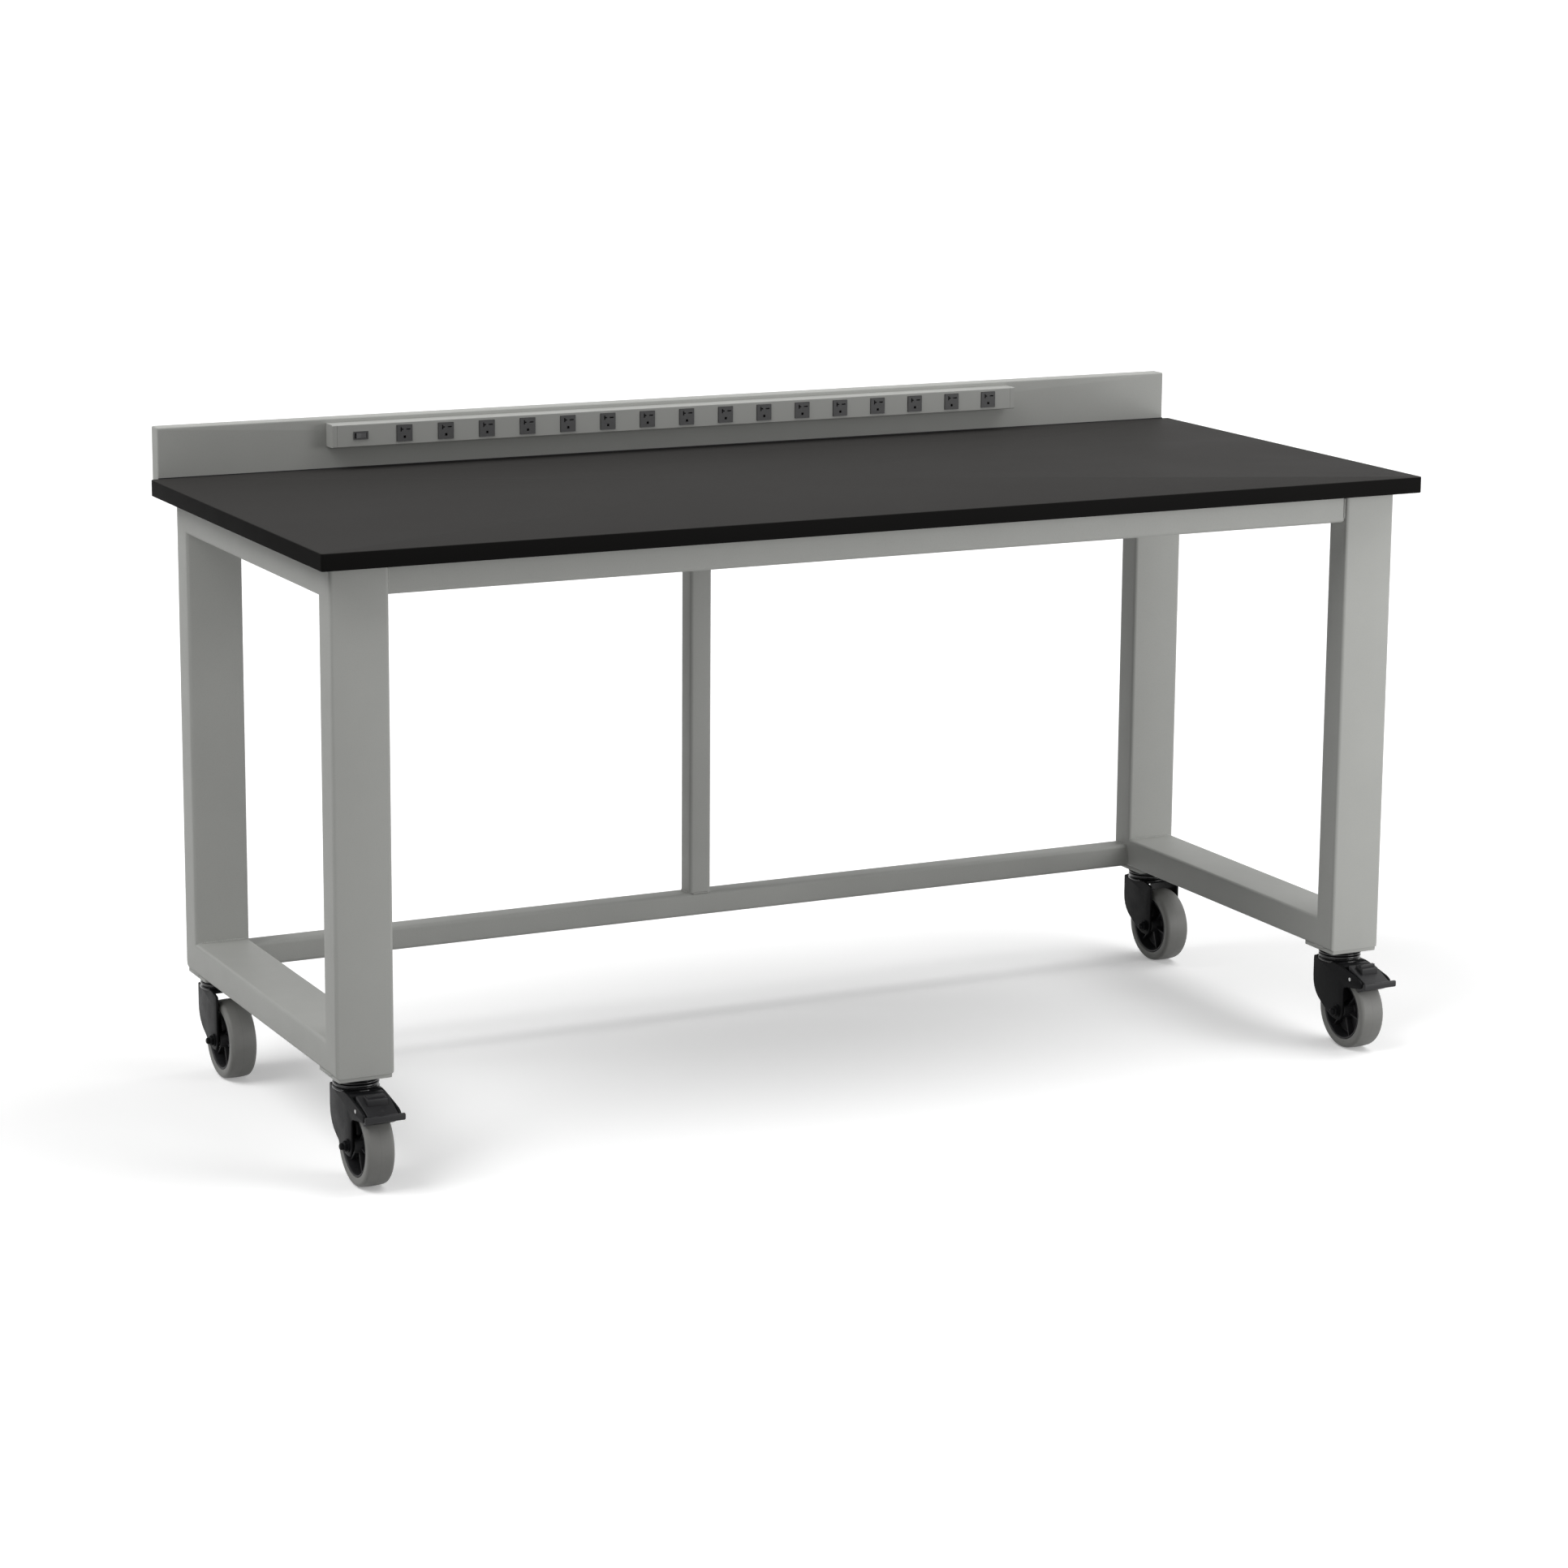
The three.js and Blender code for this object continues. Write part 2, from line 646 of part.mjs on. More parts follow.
hoop("left", -hoopMiddle);
hoop("right", hoopMiddle);
crossTubes();
worktop();
backsplash();
outletStrip();
outletCarrier();
powerSwitch();
corners();

// The origin goes to the floor below the middle of the bench's outer box, to half a millimetre.
const middle = new THREE.Box3().setFromObject(bench).getCenter(new THREE.Vector3());
bench.position.set(-Math.round(middle.x * 2) / 2, -Math.round(middle.y * 2) / 2, 0);

export default bench;
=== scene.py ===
"""Dresses a mobile laboratory bench: rounded tube hoops, a charcoal worktop, a backsplash with an outlet
strip, and four swivel casters. Laid out as an add-on, in metres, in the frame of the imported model."""
import json
import math

import bmesh
import bpy
import numpy as np
from bpy.props import FloatProperty, FloatVectorProperty, PointerProperty
from mathutils import Matrix, Vector


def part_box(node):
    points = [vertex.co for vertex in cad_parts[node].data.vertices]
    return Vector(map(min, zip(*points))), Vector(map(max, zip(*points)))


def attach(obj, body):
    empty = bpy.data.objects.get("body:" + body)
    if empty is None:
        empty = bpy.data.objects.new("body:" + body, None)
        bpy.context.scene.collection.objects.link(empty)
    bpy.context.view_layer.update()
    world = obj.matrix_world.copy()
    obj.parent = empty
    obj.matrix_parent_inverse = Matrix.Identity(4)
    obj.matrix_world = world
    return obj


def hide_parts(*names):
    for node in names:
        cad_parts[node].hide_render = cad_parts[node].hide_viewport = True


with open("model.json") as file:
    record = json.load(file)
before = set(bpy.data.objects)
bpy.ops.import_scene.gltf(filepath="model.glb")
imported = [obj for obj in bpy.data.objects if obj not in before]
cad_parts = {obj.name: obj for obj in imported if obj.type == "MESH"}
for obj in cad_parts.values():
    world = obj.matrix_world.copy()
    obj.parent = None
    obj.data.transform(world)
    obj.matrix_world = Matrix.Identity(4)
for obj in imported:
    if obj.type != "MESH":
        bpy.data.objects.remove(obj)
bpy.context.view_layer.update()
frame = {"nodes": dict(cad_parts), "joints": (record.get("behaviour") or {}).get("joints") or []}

bl_info = {
    "name": "Laboratory Bench",
    "version": (1, 0, 0),
    "blender": (4, 5, 0),
    "location": "View3D > Sidebar > Bench",
    "description": "Builds the dressed surfaces and finishes of a mobile laboratory bench",
    "category": "Add Mesh",
}

MM = 0.001
SEAM = 0.3 * MM  # gap that the solids leave between neighbours, closed here by the surfaces
JOINTS = {joint["name"]: joint for joint in frame["joints"]}
CORNERS = ("front_left", "front_right", "rear_left", "rear_right")
BRAKED = ("front_left", "front_right")


def low(node):
    """Lowest corner of a solid, as an array."""
    return np.array(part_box(node)[0])


def high(node):
    """Highest corner of a solid, as an array."""
    return np.array(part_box(node)[1])


# Sizes and colours that a user would change

class BenchSizes(bpy.types.PropertyGroup):
    """Sizes of the dressed surfaces."""

    tube_corner: FloatProperty(
        name="Tube corner", description="Radius on the long edges of the steel tubes",
        default=6 * MM, unit="LENGTH",
    )
    hoop_corner: FloatProperty(
        name="Hoop corner", description="Rounding of the hoop's lower rear corner",
        default=12 * MM, unit="LENGTH",
    )
    worktop_edge: FloatProperty(
        name="Worktop edge", description="Easing of the worktop's edges", default=1.6 * MM, unit="LENGTH"
    )
    worktop_corner: FloatProperty(
        name="Worktop corner", description="Radius of the worktop's corners in plan",
        default=4 * MM, unit="LENGTH",
    )
    weld_size: FloatProperty(
        name="Weld size", description="Radius of a weld bead under the paint", default=2.6 * MM, unit="LENGTH"
    )
    sheet_bend: FloatProperty(
        name="Sheet bend", description="Radius of the backsplash's folds", default=2.4 * MM, unit="LENGTH"
    )


class BenchColours(bpy.types.PropertyGroup):
    """Colours of the finishes."""

    frame_grey: FloatVectorProperty(
        name="Frame grey", description="Powder coat on the steel tubes", subtype="COLOR", size=3,
        default=(0.43, 0.435, 0.415), min=0, max=1,
    )
    worktop_charcoal: FloatVectorProperty(
        name="Worktop charcoal", description="Working surface", subtype="COLOR", size=3,
        default=(0.041, 0.0397, 0.0383), min=0, max=1,
    )
    tyre_grey: FloatVectorProperty(
        name="Tyre grey", description="Rubber of the wheels", subtype="COLOR", size=3,
        default=(0.205, 0.205, 0.195), min=0, max=1,
    )
    caster_black: FloatVectorProperty(
        name="Caster black", description="Enamel of the casters", subtype="COLOR", size=3,
        default=(0.009, 0.0092, 0.0098), min=0, max=1,
    )
    outlet_grey: FloatVectorProperty(
        name="Outlet grey", description="Moulded outlet faces", subtype="COLOR", size=3,
        default=(0.06, 0.06, 0.061), min=0, max=1,
    )


# Shader maths

class Value:
    """One output of a shader node. Arithmetic on it adds Math nodes to the same tree."""

    def __init__(self, nodes, socket):
        self.nodes = nodes
        self.socket = socket

    def math(self, operation, *values):
        return self.nodes.node("ShaderNodeMath", {"operation": operation}, dict(enumerate(values)))

    def __add__(self, other):
        return self.math("ADD", self, other)

    def __radd__(self, other):
        return self.math("ADD", other, self)

    def __sub__(self, other):
        return self.math("SUBTRACT", self, other)

    def __rsub__(self, other):
        return self.math("SUBTRACT", other, self)

    def __mul__(self, other):
        return self.math("MULTIPLY", self, other)

    def __rmul__(self, other):
        return self.math("MULTIPLY", other, self)

    def __abs__(self):
        return self.math("ABSOLUTE", self)

    def above(self, edge, width):
        """0 below the edge, 1 above it, with a soft step of the given width."""
        return self.nodes.node(
            "ShaderNodeMapRange",
            {"interpolation_type": "SMOOTHSTEP"},
            {"Value": self, "From Min": edge - width, "From Max": edge + width},
        )


class Nodes:
    """A node tree under construction."""

    def __init__(self, tree):
        self.tree = tree
        self.tree.nodes.clear()

    def node(self, kind, settings=None, inputs=None, output=0):
        """Adds a node: its settings first, then a value or a link for each named input."""
        made = self.tree.nodes.new(kind)
        for key, setting in (settings or {}).items():
            setattr(made, key, setting)
        for key, value in (inputs or {}).items():
            if isinstance(value, Value):
                self.tree.links.new(value.socket, made.inputs[key])
            else:
                made.inputs[key].default_value = value
        return Value(self, made.outputs[output])


class Sky(Nodes):
    """The world's shader: a white background of a varying strength."""

    def __init__(self, world):
        super().__init__(world.node_tree)
        self.background = self.tree.nodes.new("ShaderNodeBackground")
        self.background.inputs["Color"].default_value = (1, 1, 1, 1)
        output = self.tree.nodes.new("ShaderNodeOutputWorld")
        self.tree.links.new(self.background.outputs["Background"], output.inputs["Surface"])

    def feed(self, strength):
        self.tree.links.new(strength.socket, self.background.inputs["Strength"])


class Finish(Nodes):
    """A material under construction, with its Principled shader."""

    def __init__(self, name, **uniform):
        self.material = bpy.data.materials.new(name)
        self.material.use_nodes = True
        super().__init__(self.material.node_tree)
        output = self.tree.nodes.new("ShaderNodeOutputMaterial")
        self.shader = self.tree.nodes.new("ShaderNodeBsdfPrincipled")
        self.tree.links.new(self.shader.outputs["BSDF"], output.inputs["Surface"])
        for socket, number in uniform.items():
            self.shader.inputs[socket.replace("_", " ")].default_value = number
        self.place = self.node("ShaderNodeTexCoord", output="Object")

    def noise(self, scale, detail=3.0, roughness=0.55, stretch=(1, 1, 1)):
        """Noise in object space, scale in waves a metre; a small stretch factor draws it out that way."""
        scaled = self.node("ShaderNodeMapping", {}, {"Vector": self.place, "Scale": stretch})
        return self.node(
            "ShaderNodeTexNoise", {},
            {"Vector": scaled, "Scale": scale, "Detail": detail, "Roughness": roughness},
        )

    def mix(self, factor, first, second):
        """A colour between two colours."""
        def colour(c):
            return c if isinstance(c, Value) else (*c, 1)
        settings = {"data_type": "RGBA", "clamp_factor": True}
        inputs = {0: factor, 6: colour(first), 7: colour(second)}
        return self.node("ShaderNodeMix", settings, inputs, output=2)

    def bump(self, height, distance, strength):
        """A normal that leans with the slope of a height, of which 1 is the distance in metres."""
        return self.node("ShaderNodeBump", {}, {"Height": height, "Distance": distance, "Strength": strength})

    def feed(self, **links):
        """Links values to the shader's sockets and gives the finished material."""
        for socket, value in links.items():
            self.tree.links.new(value.socket, self.shader.inputs[socket.replace("_", " ")])
        return self.material


def shade(colour, factor):
    """A colour made darker or lighter by a factor."""
    return tuple(channel * factor for channel in colour)


def colours():
    return bpy.context.scene.bench_colours


def sizes():
    return bpy.context.scene.bench_sizes


FINISHES = {}


def finish_named(maker):
    """Makes each finish once and keeps it."""
    if maker.__name__ not in FINISHES:
        FINISHES[maker.__name__] = maker()
    return FINISHES[maker.__name__]


def frame_powder_coat():
    """Satin powder coat: faint cloudy colour, a fine orange-peel and small pinholes."""
    made = Finish("frame_powder_coat", Specular_IOR_Level=0.22)
    grey = tuple(colours().frame_grey)
    cloud = made.noise(6, 4)
    grain = made.noise(900, 2)
    peel = made.noise(420, 3)
    base = made.mix(cloud, shade(grey, 0.94), shade(grey, 1.06))
    speck = made.mix(grain.above(0.62, 0.08) * 0.35, base, shade(grey, 0.78))
    rough = 0.4 + 0.16 * made.noise(30, 3) + 0.08 * grain
    relief = made.bump(peel * 0.7 + grain * 0.3, 0.00025, 0.6)
    return made.feed(Base_Color=speck, Roughness=rough, Normal=relief)


def strip_enamel():
    """Smoother grey enamel of the outlet strip, with brushed extrusion lines along its length."""
    made = Finish("strip_enamel", Specular_IOR_Level=0.25)
    grey = shade(tuple(colours().frame_grey), 0.98)
    lines = made.noise(700, 2, stretch=(0.01, 1, 1))
    cloud = made.noise(9, 3)
    base = made.mix(cloud, shade(grey, 0.95), shade(grey, 1.05))
    rough = 0.32 + 0.14 * lines + 0.08 * cloud
    return made.feed(Base_Color=base, Roughness=rough, Normal=made.bump(lines, 0.00006, 0.6))


def worktop_resin():
    """Charcoal resin: long faint wipe streaks and fine speckle on top; the sides painted nearly black as
    painted shade.
    """
    made = Finish("worktop_resin", Specular_IOR_Level=0.01)
    dark = tuple(colours().worktop_charcoal)
    height = made.node("ShaderNodeSeparateXYZ", {}, {"Vector": made.place}, output="Z")
    top_versus_painted_shade_sides = height.above(float(high("worktop")[2]) - 0.8 * MM, 0.5 * MM)
    streak = made.noise(14, 5, 0.6, stretch=(0.12, 1, 1))
    smudge = made.noise(3.2, 4)
    speckle = made.noise(1500, 2)
    top = made.mix(streak * 0.6 + smudge * 0.4, shade(dark, 0.8), shade(dark, 1.22))
    flecked = made.mix(speckle.above(0.6, 0.1) * 0.3, top, shade(dark, 1.7))
    # Painted shade: the slab's sides take a far darker charcoal than the top, picked out by height.
    base = made.mix(top_versus_painted_shade_sides, shade(dark, 0.22), flecked)
    rough = 0.44 + 0.2 * smudge + 0.1 * streak
    return made.feed(Base_Color=base, Roughness=rough, Normal=made.bump(speckle, 0.00008, 0.5))


def outlet_moulding():
    """Dark grey moulded plastic with a spark-eroded texture, and painted shade, near black, in the slots
    behind its faces.
    """
    made = Finish("outlet_moulding")
    grey = tuple(colours().outlet_grey)
    grain = made.noise(2200, 2)
    cloud = made.noise(40, 2)
    depth = made.node("ShaderNodeSeparateXYZ", {}, {"Vector": made.place}, output="Y")
    painted_slot_shade = depth.above(float(low("outlet_carrier")[1]) + 0.5 * MM, 0.3 * MM)
    face = made.mix(cloud, shade(grey, 0.88), shade(grey, 1.12))
    # Painted shade: everything deeper than the outlet faces turns near black, standing in for the shade in
    # the slots.
    base = made.mix(painted_slot_shade, face, shade(grey, 0.06))
    return made.feed(Base_Color=base, Roughness=0.42 + 0.2 * grain, Normal=made.bump(grain, 0.00008, 0.7))


def switch_moulding():
    """Mid-grey rocker plastic with a light satin grain."""
    made = Finish("switch_moulding")
    grain = made.noise(1800, 2)
    base = made.mix(made.noise(60, 2), (0.085, 0.085, 0.088), (0.11, 0.11, 0.113))
    return made.feed(Base_Color=base, Roughness=0.3 + 0.15 * grain, Normal=made.bump(grain, 0.00005, 0.5))


def black_enamel():
    """Gloss black enamel on pressed steel: soft orange-peel, dust in the lows and dull rubbed patches."""
    made = Finish("black_enamel", Coat_Roughness=0.1, Specular_IOR_Level=0.03)
    black = tuple(colours().caster_black)
    peel = made.noise(260, 3)
    dust = made.noise(45, 5)
    base = made.mix(dust.above(0.58, 0.14) * 0.5, black, shade(black, 2))
    rough = 0.22 + 0.22 * dust + 0.06 * peel
    coat = 0.05 - 0.04 * dust.above(0.55, 0.12)
    return made.feed(Base_Color=base, Roughness=rough, Coat_Weight=coat, Normal=made.bump(peel, 0.0003, 0.5))


def race_gloss():
    """Thick gloss black on the turned races: nearly clean, with fine turning lines under the lacquer."""
    made = Finish("race_gloss", Coat_Weight=0.5, Coat_Roughness=0.06, Specular_IOR_Level=0.25)
    black = tuple(colours().caster_black)
    lines = made.noise(900, 2, stretch=(0.05, 0.05, 1))
    dust = made.noise(60, 4)
    base = made.mix(dust.above(0.6, 0.1) * 0.4, black, shade(black, 2))
    return made.feed(Base_Color=base, Roughness=0.14 + 0.12 * dust, Normal=made.bump(lines, 0.00004, 0.4))


def black_moulding():
    """Satin black moulded nylon with fine grain and pale scuffs."""
    made = Finish("black_moulding", Specular_IOR_Level=0.3)
    grain = made.noise(1600, 2)
    scuff = made.noise(70, 6, 0.7)
    base = made.mix(scuff.above(0.64, 0.06) * 0.35, (0.009, 0.009, 0.01), (0.045, 0.045, 0.045))
    return made.feed(Base_Color=base, Roughness=0.36 + 0.22 * grain, Normal=made.bump(grain, 0.0001, 0.6))


def tyre_rubber():
    """Grey rubber with a soft sheen: dusty tread, a faint mould line round the middle and fine scuffs."""
    made = Finish("tyre_rubber", Specular_IOR_Level=0.35)
    grey = tuple(colours().tyre_grey)
    across = made.node("ShaderNodeSeparateXYZ", {}, {"Vector": made.node("ShaderNodeUVMap")}, output="Y")
    grain = made.noise(1300, 2)
    dust = made.noise(55, 5)
    tread = 1 - abs(across - 0.5).above(0.16, 0.05)
    line = 1 - abs(across - 0.5).above(0.006, 0.004)
    base = made.mix(dust, shade(grey, 0.86), shade(grey, 1.12))
    worn = made.mix(tread * 0.4, base, shade(grey, 0.82))
    marked = made.mix(line * 0.15, worn, shade(grey, 0.6))
    rough = 0.38 + 0.16 * dust + 0.08 * grain
    height = grain * 0.4 + dust * 0.3 - line * 0.3
    return made.feed(Base_Color=marked, Roughness=rough, Normal=made.bump(height, 0.00018, 0.7))


def plated_steel():
    """Bright zinc plate with cloudy crystals."""
    made = Finish("plated_steel", Metallic=1.0)
    cloud = made.noise(160, 4)
    base = made.mix(cloud, (0.36, 0.36, 0.36), (0.56, 0.56, 0.55))
    return made.feed(Base_Color=base, Roughness=0.24 + 0.24 * cloud, Normal=made.bump(cloud, 0.0001, 0.4))


def conductor_brass():
    """Bare rolled brass with length-wise lines and slight tarnish."""
    made = Finish("conductor_brass", Metallic=1.0)
    lines = made.noise(600, 2, stretch=(0.02, 1, 1))
    tarnish = made.noise(30, 4)
    base = made.mix(tarnish, (0.42, 0.27, 0.1), (0.56, 0.4, 0.17))
    return made.feed(Base_Color=base, Roughness=0.28 + 0.2 * lines, Normal=made.bump(lines, 0.00005, 0.5))


# Surfaces

SHARP_EDGE = math.radians(35)
MERGE_DISTANCE, SLIVER = 1e-6, 1e-7


def grid_faces(rows, columns, offset, wrap_rows):
    """Quads between neighbouring grid points, counted from an offset. Each row of points is a closed ring."""
    i = np.arange(rows if wrap_rows else rows - 1)
    i, j = np.meshgrid(i, np.arange(columns), indexing="ij")
    i2, j2 = (i + 1) % rows, (j + 1) % columns
    quads = np.stack([i * columns + j, i2 * columns + j, i2 * columns + j2, i * columns + j2], -1)
    return quads.reshape(-1, 4) + offset


class Grid:
    """A surface as an array of points over two parameters: rows of closed rings, of which the last may run on
    into the first."""

    def __init__(self, points, wrap_rows=False):
        self.points = np.asarray(points, float)
        self.wrap_rows = wrap_rows

    def moved(self, transform):
        return Grid(transform(self.points), self.wrap_rows)


def capped(rings):
    """A loft through rings whose end rings close on their own middles."""
    rings = np.asarray(rings, float)
    first = np.broadcast_to(rings[0].mean(0), rings[0].shape)
    last = np.broadcast_to(rings[-1].mean(0), rings[-1].shape)
    return Grid(np.concatenate([first[None], rings, last[None]]))


def piece(name, body, maker, grids, nodes=()):
    """Makes one object from grids, welds its seams, turns its faces outwards and sets it on a body, in place
    of the named solids."""
    mesh = bpy.data.meshes.new(name)
    counts = np.cumsum([0] + [g.points.shape[0] * g.points.shape[1] for g in grids])
    vertices = np.concatenate([g.points.reshape(-1, 3) for g in grids])
    faces = np.concatenate([
        grid_faces(*g.points.shape[:2], start, g.wrap_rows) for g, start in zip(grids, counts)
    ])
    shares = np.concatenate([parameter_map(g).reshape(-1, 2) for g in grids])
    mesh.from_pydata(vertices.tolist(), [], faces.tolist())
    layer = mesh.uv_layers.new(name="parameters")
    loops = np.empty(len(mesh.loops), int)
    mesh.loops.foreach_get("vertex_index", loops)
    layer.data.foreach_set("uv", shares[loops].ravel())
    built = bmesh.new()
    built.from_mesh(mesh)
    bmesh.ops.remove_doubles(built, verts=built.verts, dist=MERGE_DISTANCE)
    bmesh.ops.dissolve_degenerate(built, edges=built.edges, dist=SLIVER)
    bmesh.ops.recalc_face_normals(built, faces=built.faces)
    built.to_mesh(mesh)
    built.free()
    mesh.polygons.foreach_set("use_smooth", np.ones(len(mesh.polygons), bool))
    mesh.set_sharp_from_angle(angle=SHARP_EDGE)
    mesh.materials.append(finish_named(maker))
    made = bpy.data.objects.new(name, mesh)
    bpy.context.scene.collection.objects.link(made)
    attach(made, body)
    if nodes:
        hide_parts(*nodes)


def parameter_map(grid):
    """The two grid parameters of every point, each from 0 to 1."""
    rows, columns = grid.points.shape[:2]
    u, v = np.meshgrid(np.linspace(0, 1, rows), np.linspace(0, 1, columns), indexing="ij")
    return np.stack([v, u], -1)


def rounded_loop(half_x, half_y, radius, steps=6):
    """A rectangle with quarter-circle corners, anticlockwise, as points (x, y)."""
    radius = min(radius, half_x, half_y)
    angle = np.linspace(0, np.pi / 2, steps + 1)
    quarter = np.arange(4)[:, None] * np.pi / 2 + angle[None]
    centre_x = np.array([1, -1, -1, 1])[:, None] * (half_x - radius)
    centre_y = np.array([1, 1, -1, -1])[:, None] * (half_y - radius)
    x, y = centre_x + radius * np.cos(quarter), centre_y + radius * np.sin(quarter)
    return np.stack([x, y], -1).reshape(-1, 2)


def rounded_block(lowest, highest, corner, edge, steps=4):
    """A box with plan corners of one radius and rolled top and bottom edges of another: insets of its plan
    follow quarter circles near the bottom and the top."""
    lowest, highest = np.asarray(lowest, float), np.asarray(highest, float)
    middle, half = (lowest + highest) / 2, (highest - lowest) / 2
    angle = np.linspace(0, np.pi / 2, steps + 1)
    inset = edge * (1 - np.sin(angle))
    rise = edge * (1 - np.cos(angle))
    insets = np.concatenate([inset, inset[::-1]])
    heights = np.concatenate([lowest[2] + rise, highest[2] - rise[::-1]])
    rings = [
        np.column_stack([
            rounded_loop(half[0] - i, half[1] - i, max(corner - i, edge * 0.2), steps) + middle[:2],
            np.full(4 * (steps + 1), z),
        ])
        for i, z in zip(insets, heights)
    ]
    return capped(rings)


def lathe(profile, segments):
    """A profile of (radius, height) carried round +Z."""
    profile = np.asarray(profile, float)
    angle = np.linspace(0, 2 * np.pi, segments, endpoint=False)
    x = profile[:, :1] * np.cos(angle)
    y = profile[:, :1] * np.sin(angle)
    z = np.broadcast_to(profile[:, 1:], x.shape)
    return Grid(np.stack([x, y, z], -1))


def rolled(profile, radius, steps=4):
    """Rounds the corners of an open (radius, height) profile with short quadratic bends."""
    points = np.asarray(profile, float)
    before, at, after = points[:-2], points[1:-1], points[2:]
    reach_in = np.linalg.norm(before - at, axis=1, keepdims=True)
    reach_out = np.linalg.norm(after - at, axis=1, keepdims=True)
    start = at + (before - at) / reach_in * np.minimum(radius, reach_in * 0.45)
    end = at + (after - at) / reach_out * np.minimum(radius, reach_out * 0.45)
    t = np.linspace(0, 1, steps + 1)[None, :, None]
    bend = (1 - t) ** 2 * start[:, None] + 2 * t * (1 - t) * at[:, None] + t**2 * end[:, None]
    return np.concatenate([points[:1], bend.reshape(-1, 2), points[-1:]])


def bead(start, end, radius, ripples, flat=0.75, sides=10):
    """A weld bead: a thin tube between two points whose radius swells with every ripple."""
    start, end = np.asarray(start, float), np.asarray(end, float)
    t = np.linspace(0, 1, ripples * 6 + 1)
    taper = np.minimum(1, 12 * np.minimum(t, 1 - t) + 0.25)
    swell = radius * (0.86 + 0.14 * np.cos(t * ripples * 2 * np.pi)) * taper
    along = (end - start) / np.linalg.norm(end - start)
    side = np.cross(along, [0.577, 0.577, 0.578])
    side /= np.linalg.norm(side)
    other = np.cross(along, side)
    angle = np.linspace(0, 2 * np.pi, sides, endpoint=False)
    ring = np.cos(angle)[:, None] * side + np.sin(angle)[:, None] * other
    middle = start + t[:, None] * (end - start)
    return capped(middle[:, None] + swell[:, None, None] * ring[None] * flat)


# Steel frame

def hoop_surface(side):
    """A rounded tube section carried round the hoop: each section point at inward depth d runs along a
    rectangle inset by d, mitred at three corners and rounded at the lower rear one."""
    lowest = np.minimum(low(f"leg_front_{side}"), low(f"rail_bottom_{side}"))
    highest = np.maximum(high(f"leg_rear_{side}"), high(f"rail_top_{side}"))
    depth = high(f"leg_front_{side}")[1] - low(f"leg_front_{side}")[1]
    width = highest[0] - lowest[0]
    section = rounded_loop(width / 2, depth / 2, sizes().tube_corner)
    x = section[:, 0] + (lowest[0] + highest[0]) / 2
    d = section[:, 1] + depth / 2
    front, rear, bottom, top = lowest[1], highest[1], lowest[2], highest[2]
    bend = sizes().hoop_corner
    angles = np.radians(np.linspace(-90, 0, 7))[:, None]
    reach = np.maximum(bend - d, 0)
    inset = np.maximum(bend, d)
    turn_y = rear - inset + reach * np.cos(angles)
    turn_z = bottom + inset + reach * np.sin(angles)
    y = np.vstack([front + d, turn_y, rear - d, front + d])
    z = np.vstack([bottom + d, turn_z, top - d, top - d])
    return Grid(np.stack([np.broadcast_to(x, y.shape), y, z], -1), wrap_rows=True)


def straight_tube(node, axis):
    """A rounded tube section carried straight along one axis between a solid's two ends."""
    lowest, highest = low(node), high(node)
    across = [k for k in range(3) if k != axis]
    half = (highest - lowest)[across] / 2
    middle = ((highest + lowest) / 2)[across]
    loop = rounded_loop(*half, sizes().tube_corner) + middle
    ends = np.array([lowest[axis] - SEAM, highest[axis] + SEAM])
    rings = np.empty((2, len(loop), 3))
    rings[:, :, across] = loop
    rings[:, :, axis] = ends[:, None]
    return capped(rings)


class BENCH_OT_frame(bpy.types.Operator):
    """Builds the two hoops, the tubes between them and the caster pads"""

    bl_idname = "bench.frame"
    bl_label = "Steel Frame"

    def execute(self, context):
        for side in ("left", "right"):
            nodes = [f"{part}_{side}" for part in ("leg_front", "leg_rear", "rail_bottom", "rail_top")]
            piece(f"hoop_{side}", "bench", frame_powder_coat, [hoop_surface(side)], nodes)
        for node, axis in (("front_apron", 0), ("rear_top_rail", 0), ("rear_stretcher", 0), ("rear_post", 2)):
            tube = straight_tube(node, axis)
            piece(f"{node}_tube", "bench", frame_powder_coat, [tube], [node])
        pad_corner, pad_edge = 3 * MM, 1 * MM
        tack_half, tack_radius, tack_ripples = 14 * MM, 3 * MM, 6
        for corner in CORNERS:
            node = f"caster_pad_{corner}"
            lowest, highest = low(node), high(node)
            plate = rounded_block(lowest, highest + [0, 0, SEAM], pad_corner, pad_edge)
            y, z = (lowest[1] + highest[1]) / 2, highest[2]
            tacks = [
                bead([x, y - tack_half, z], [x, y + tack_half, z], tack_radius, tack_ripples)
                for x in (lowest[0], highest[0])
            ]
            piece(f"{node}_plate", "bench", frame_powder_coat, [plate, *tacks], [node])
        return {"FINISHED"}


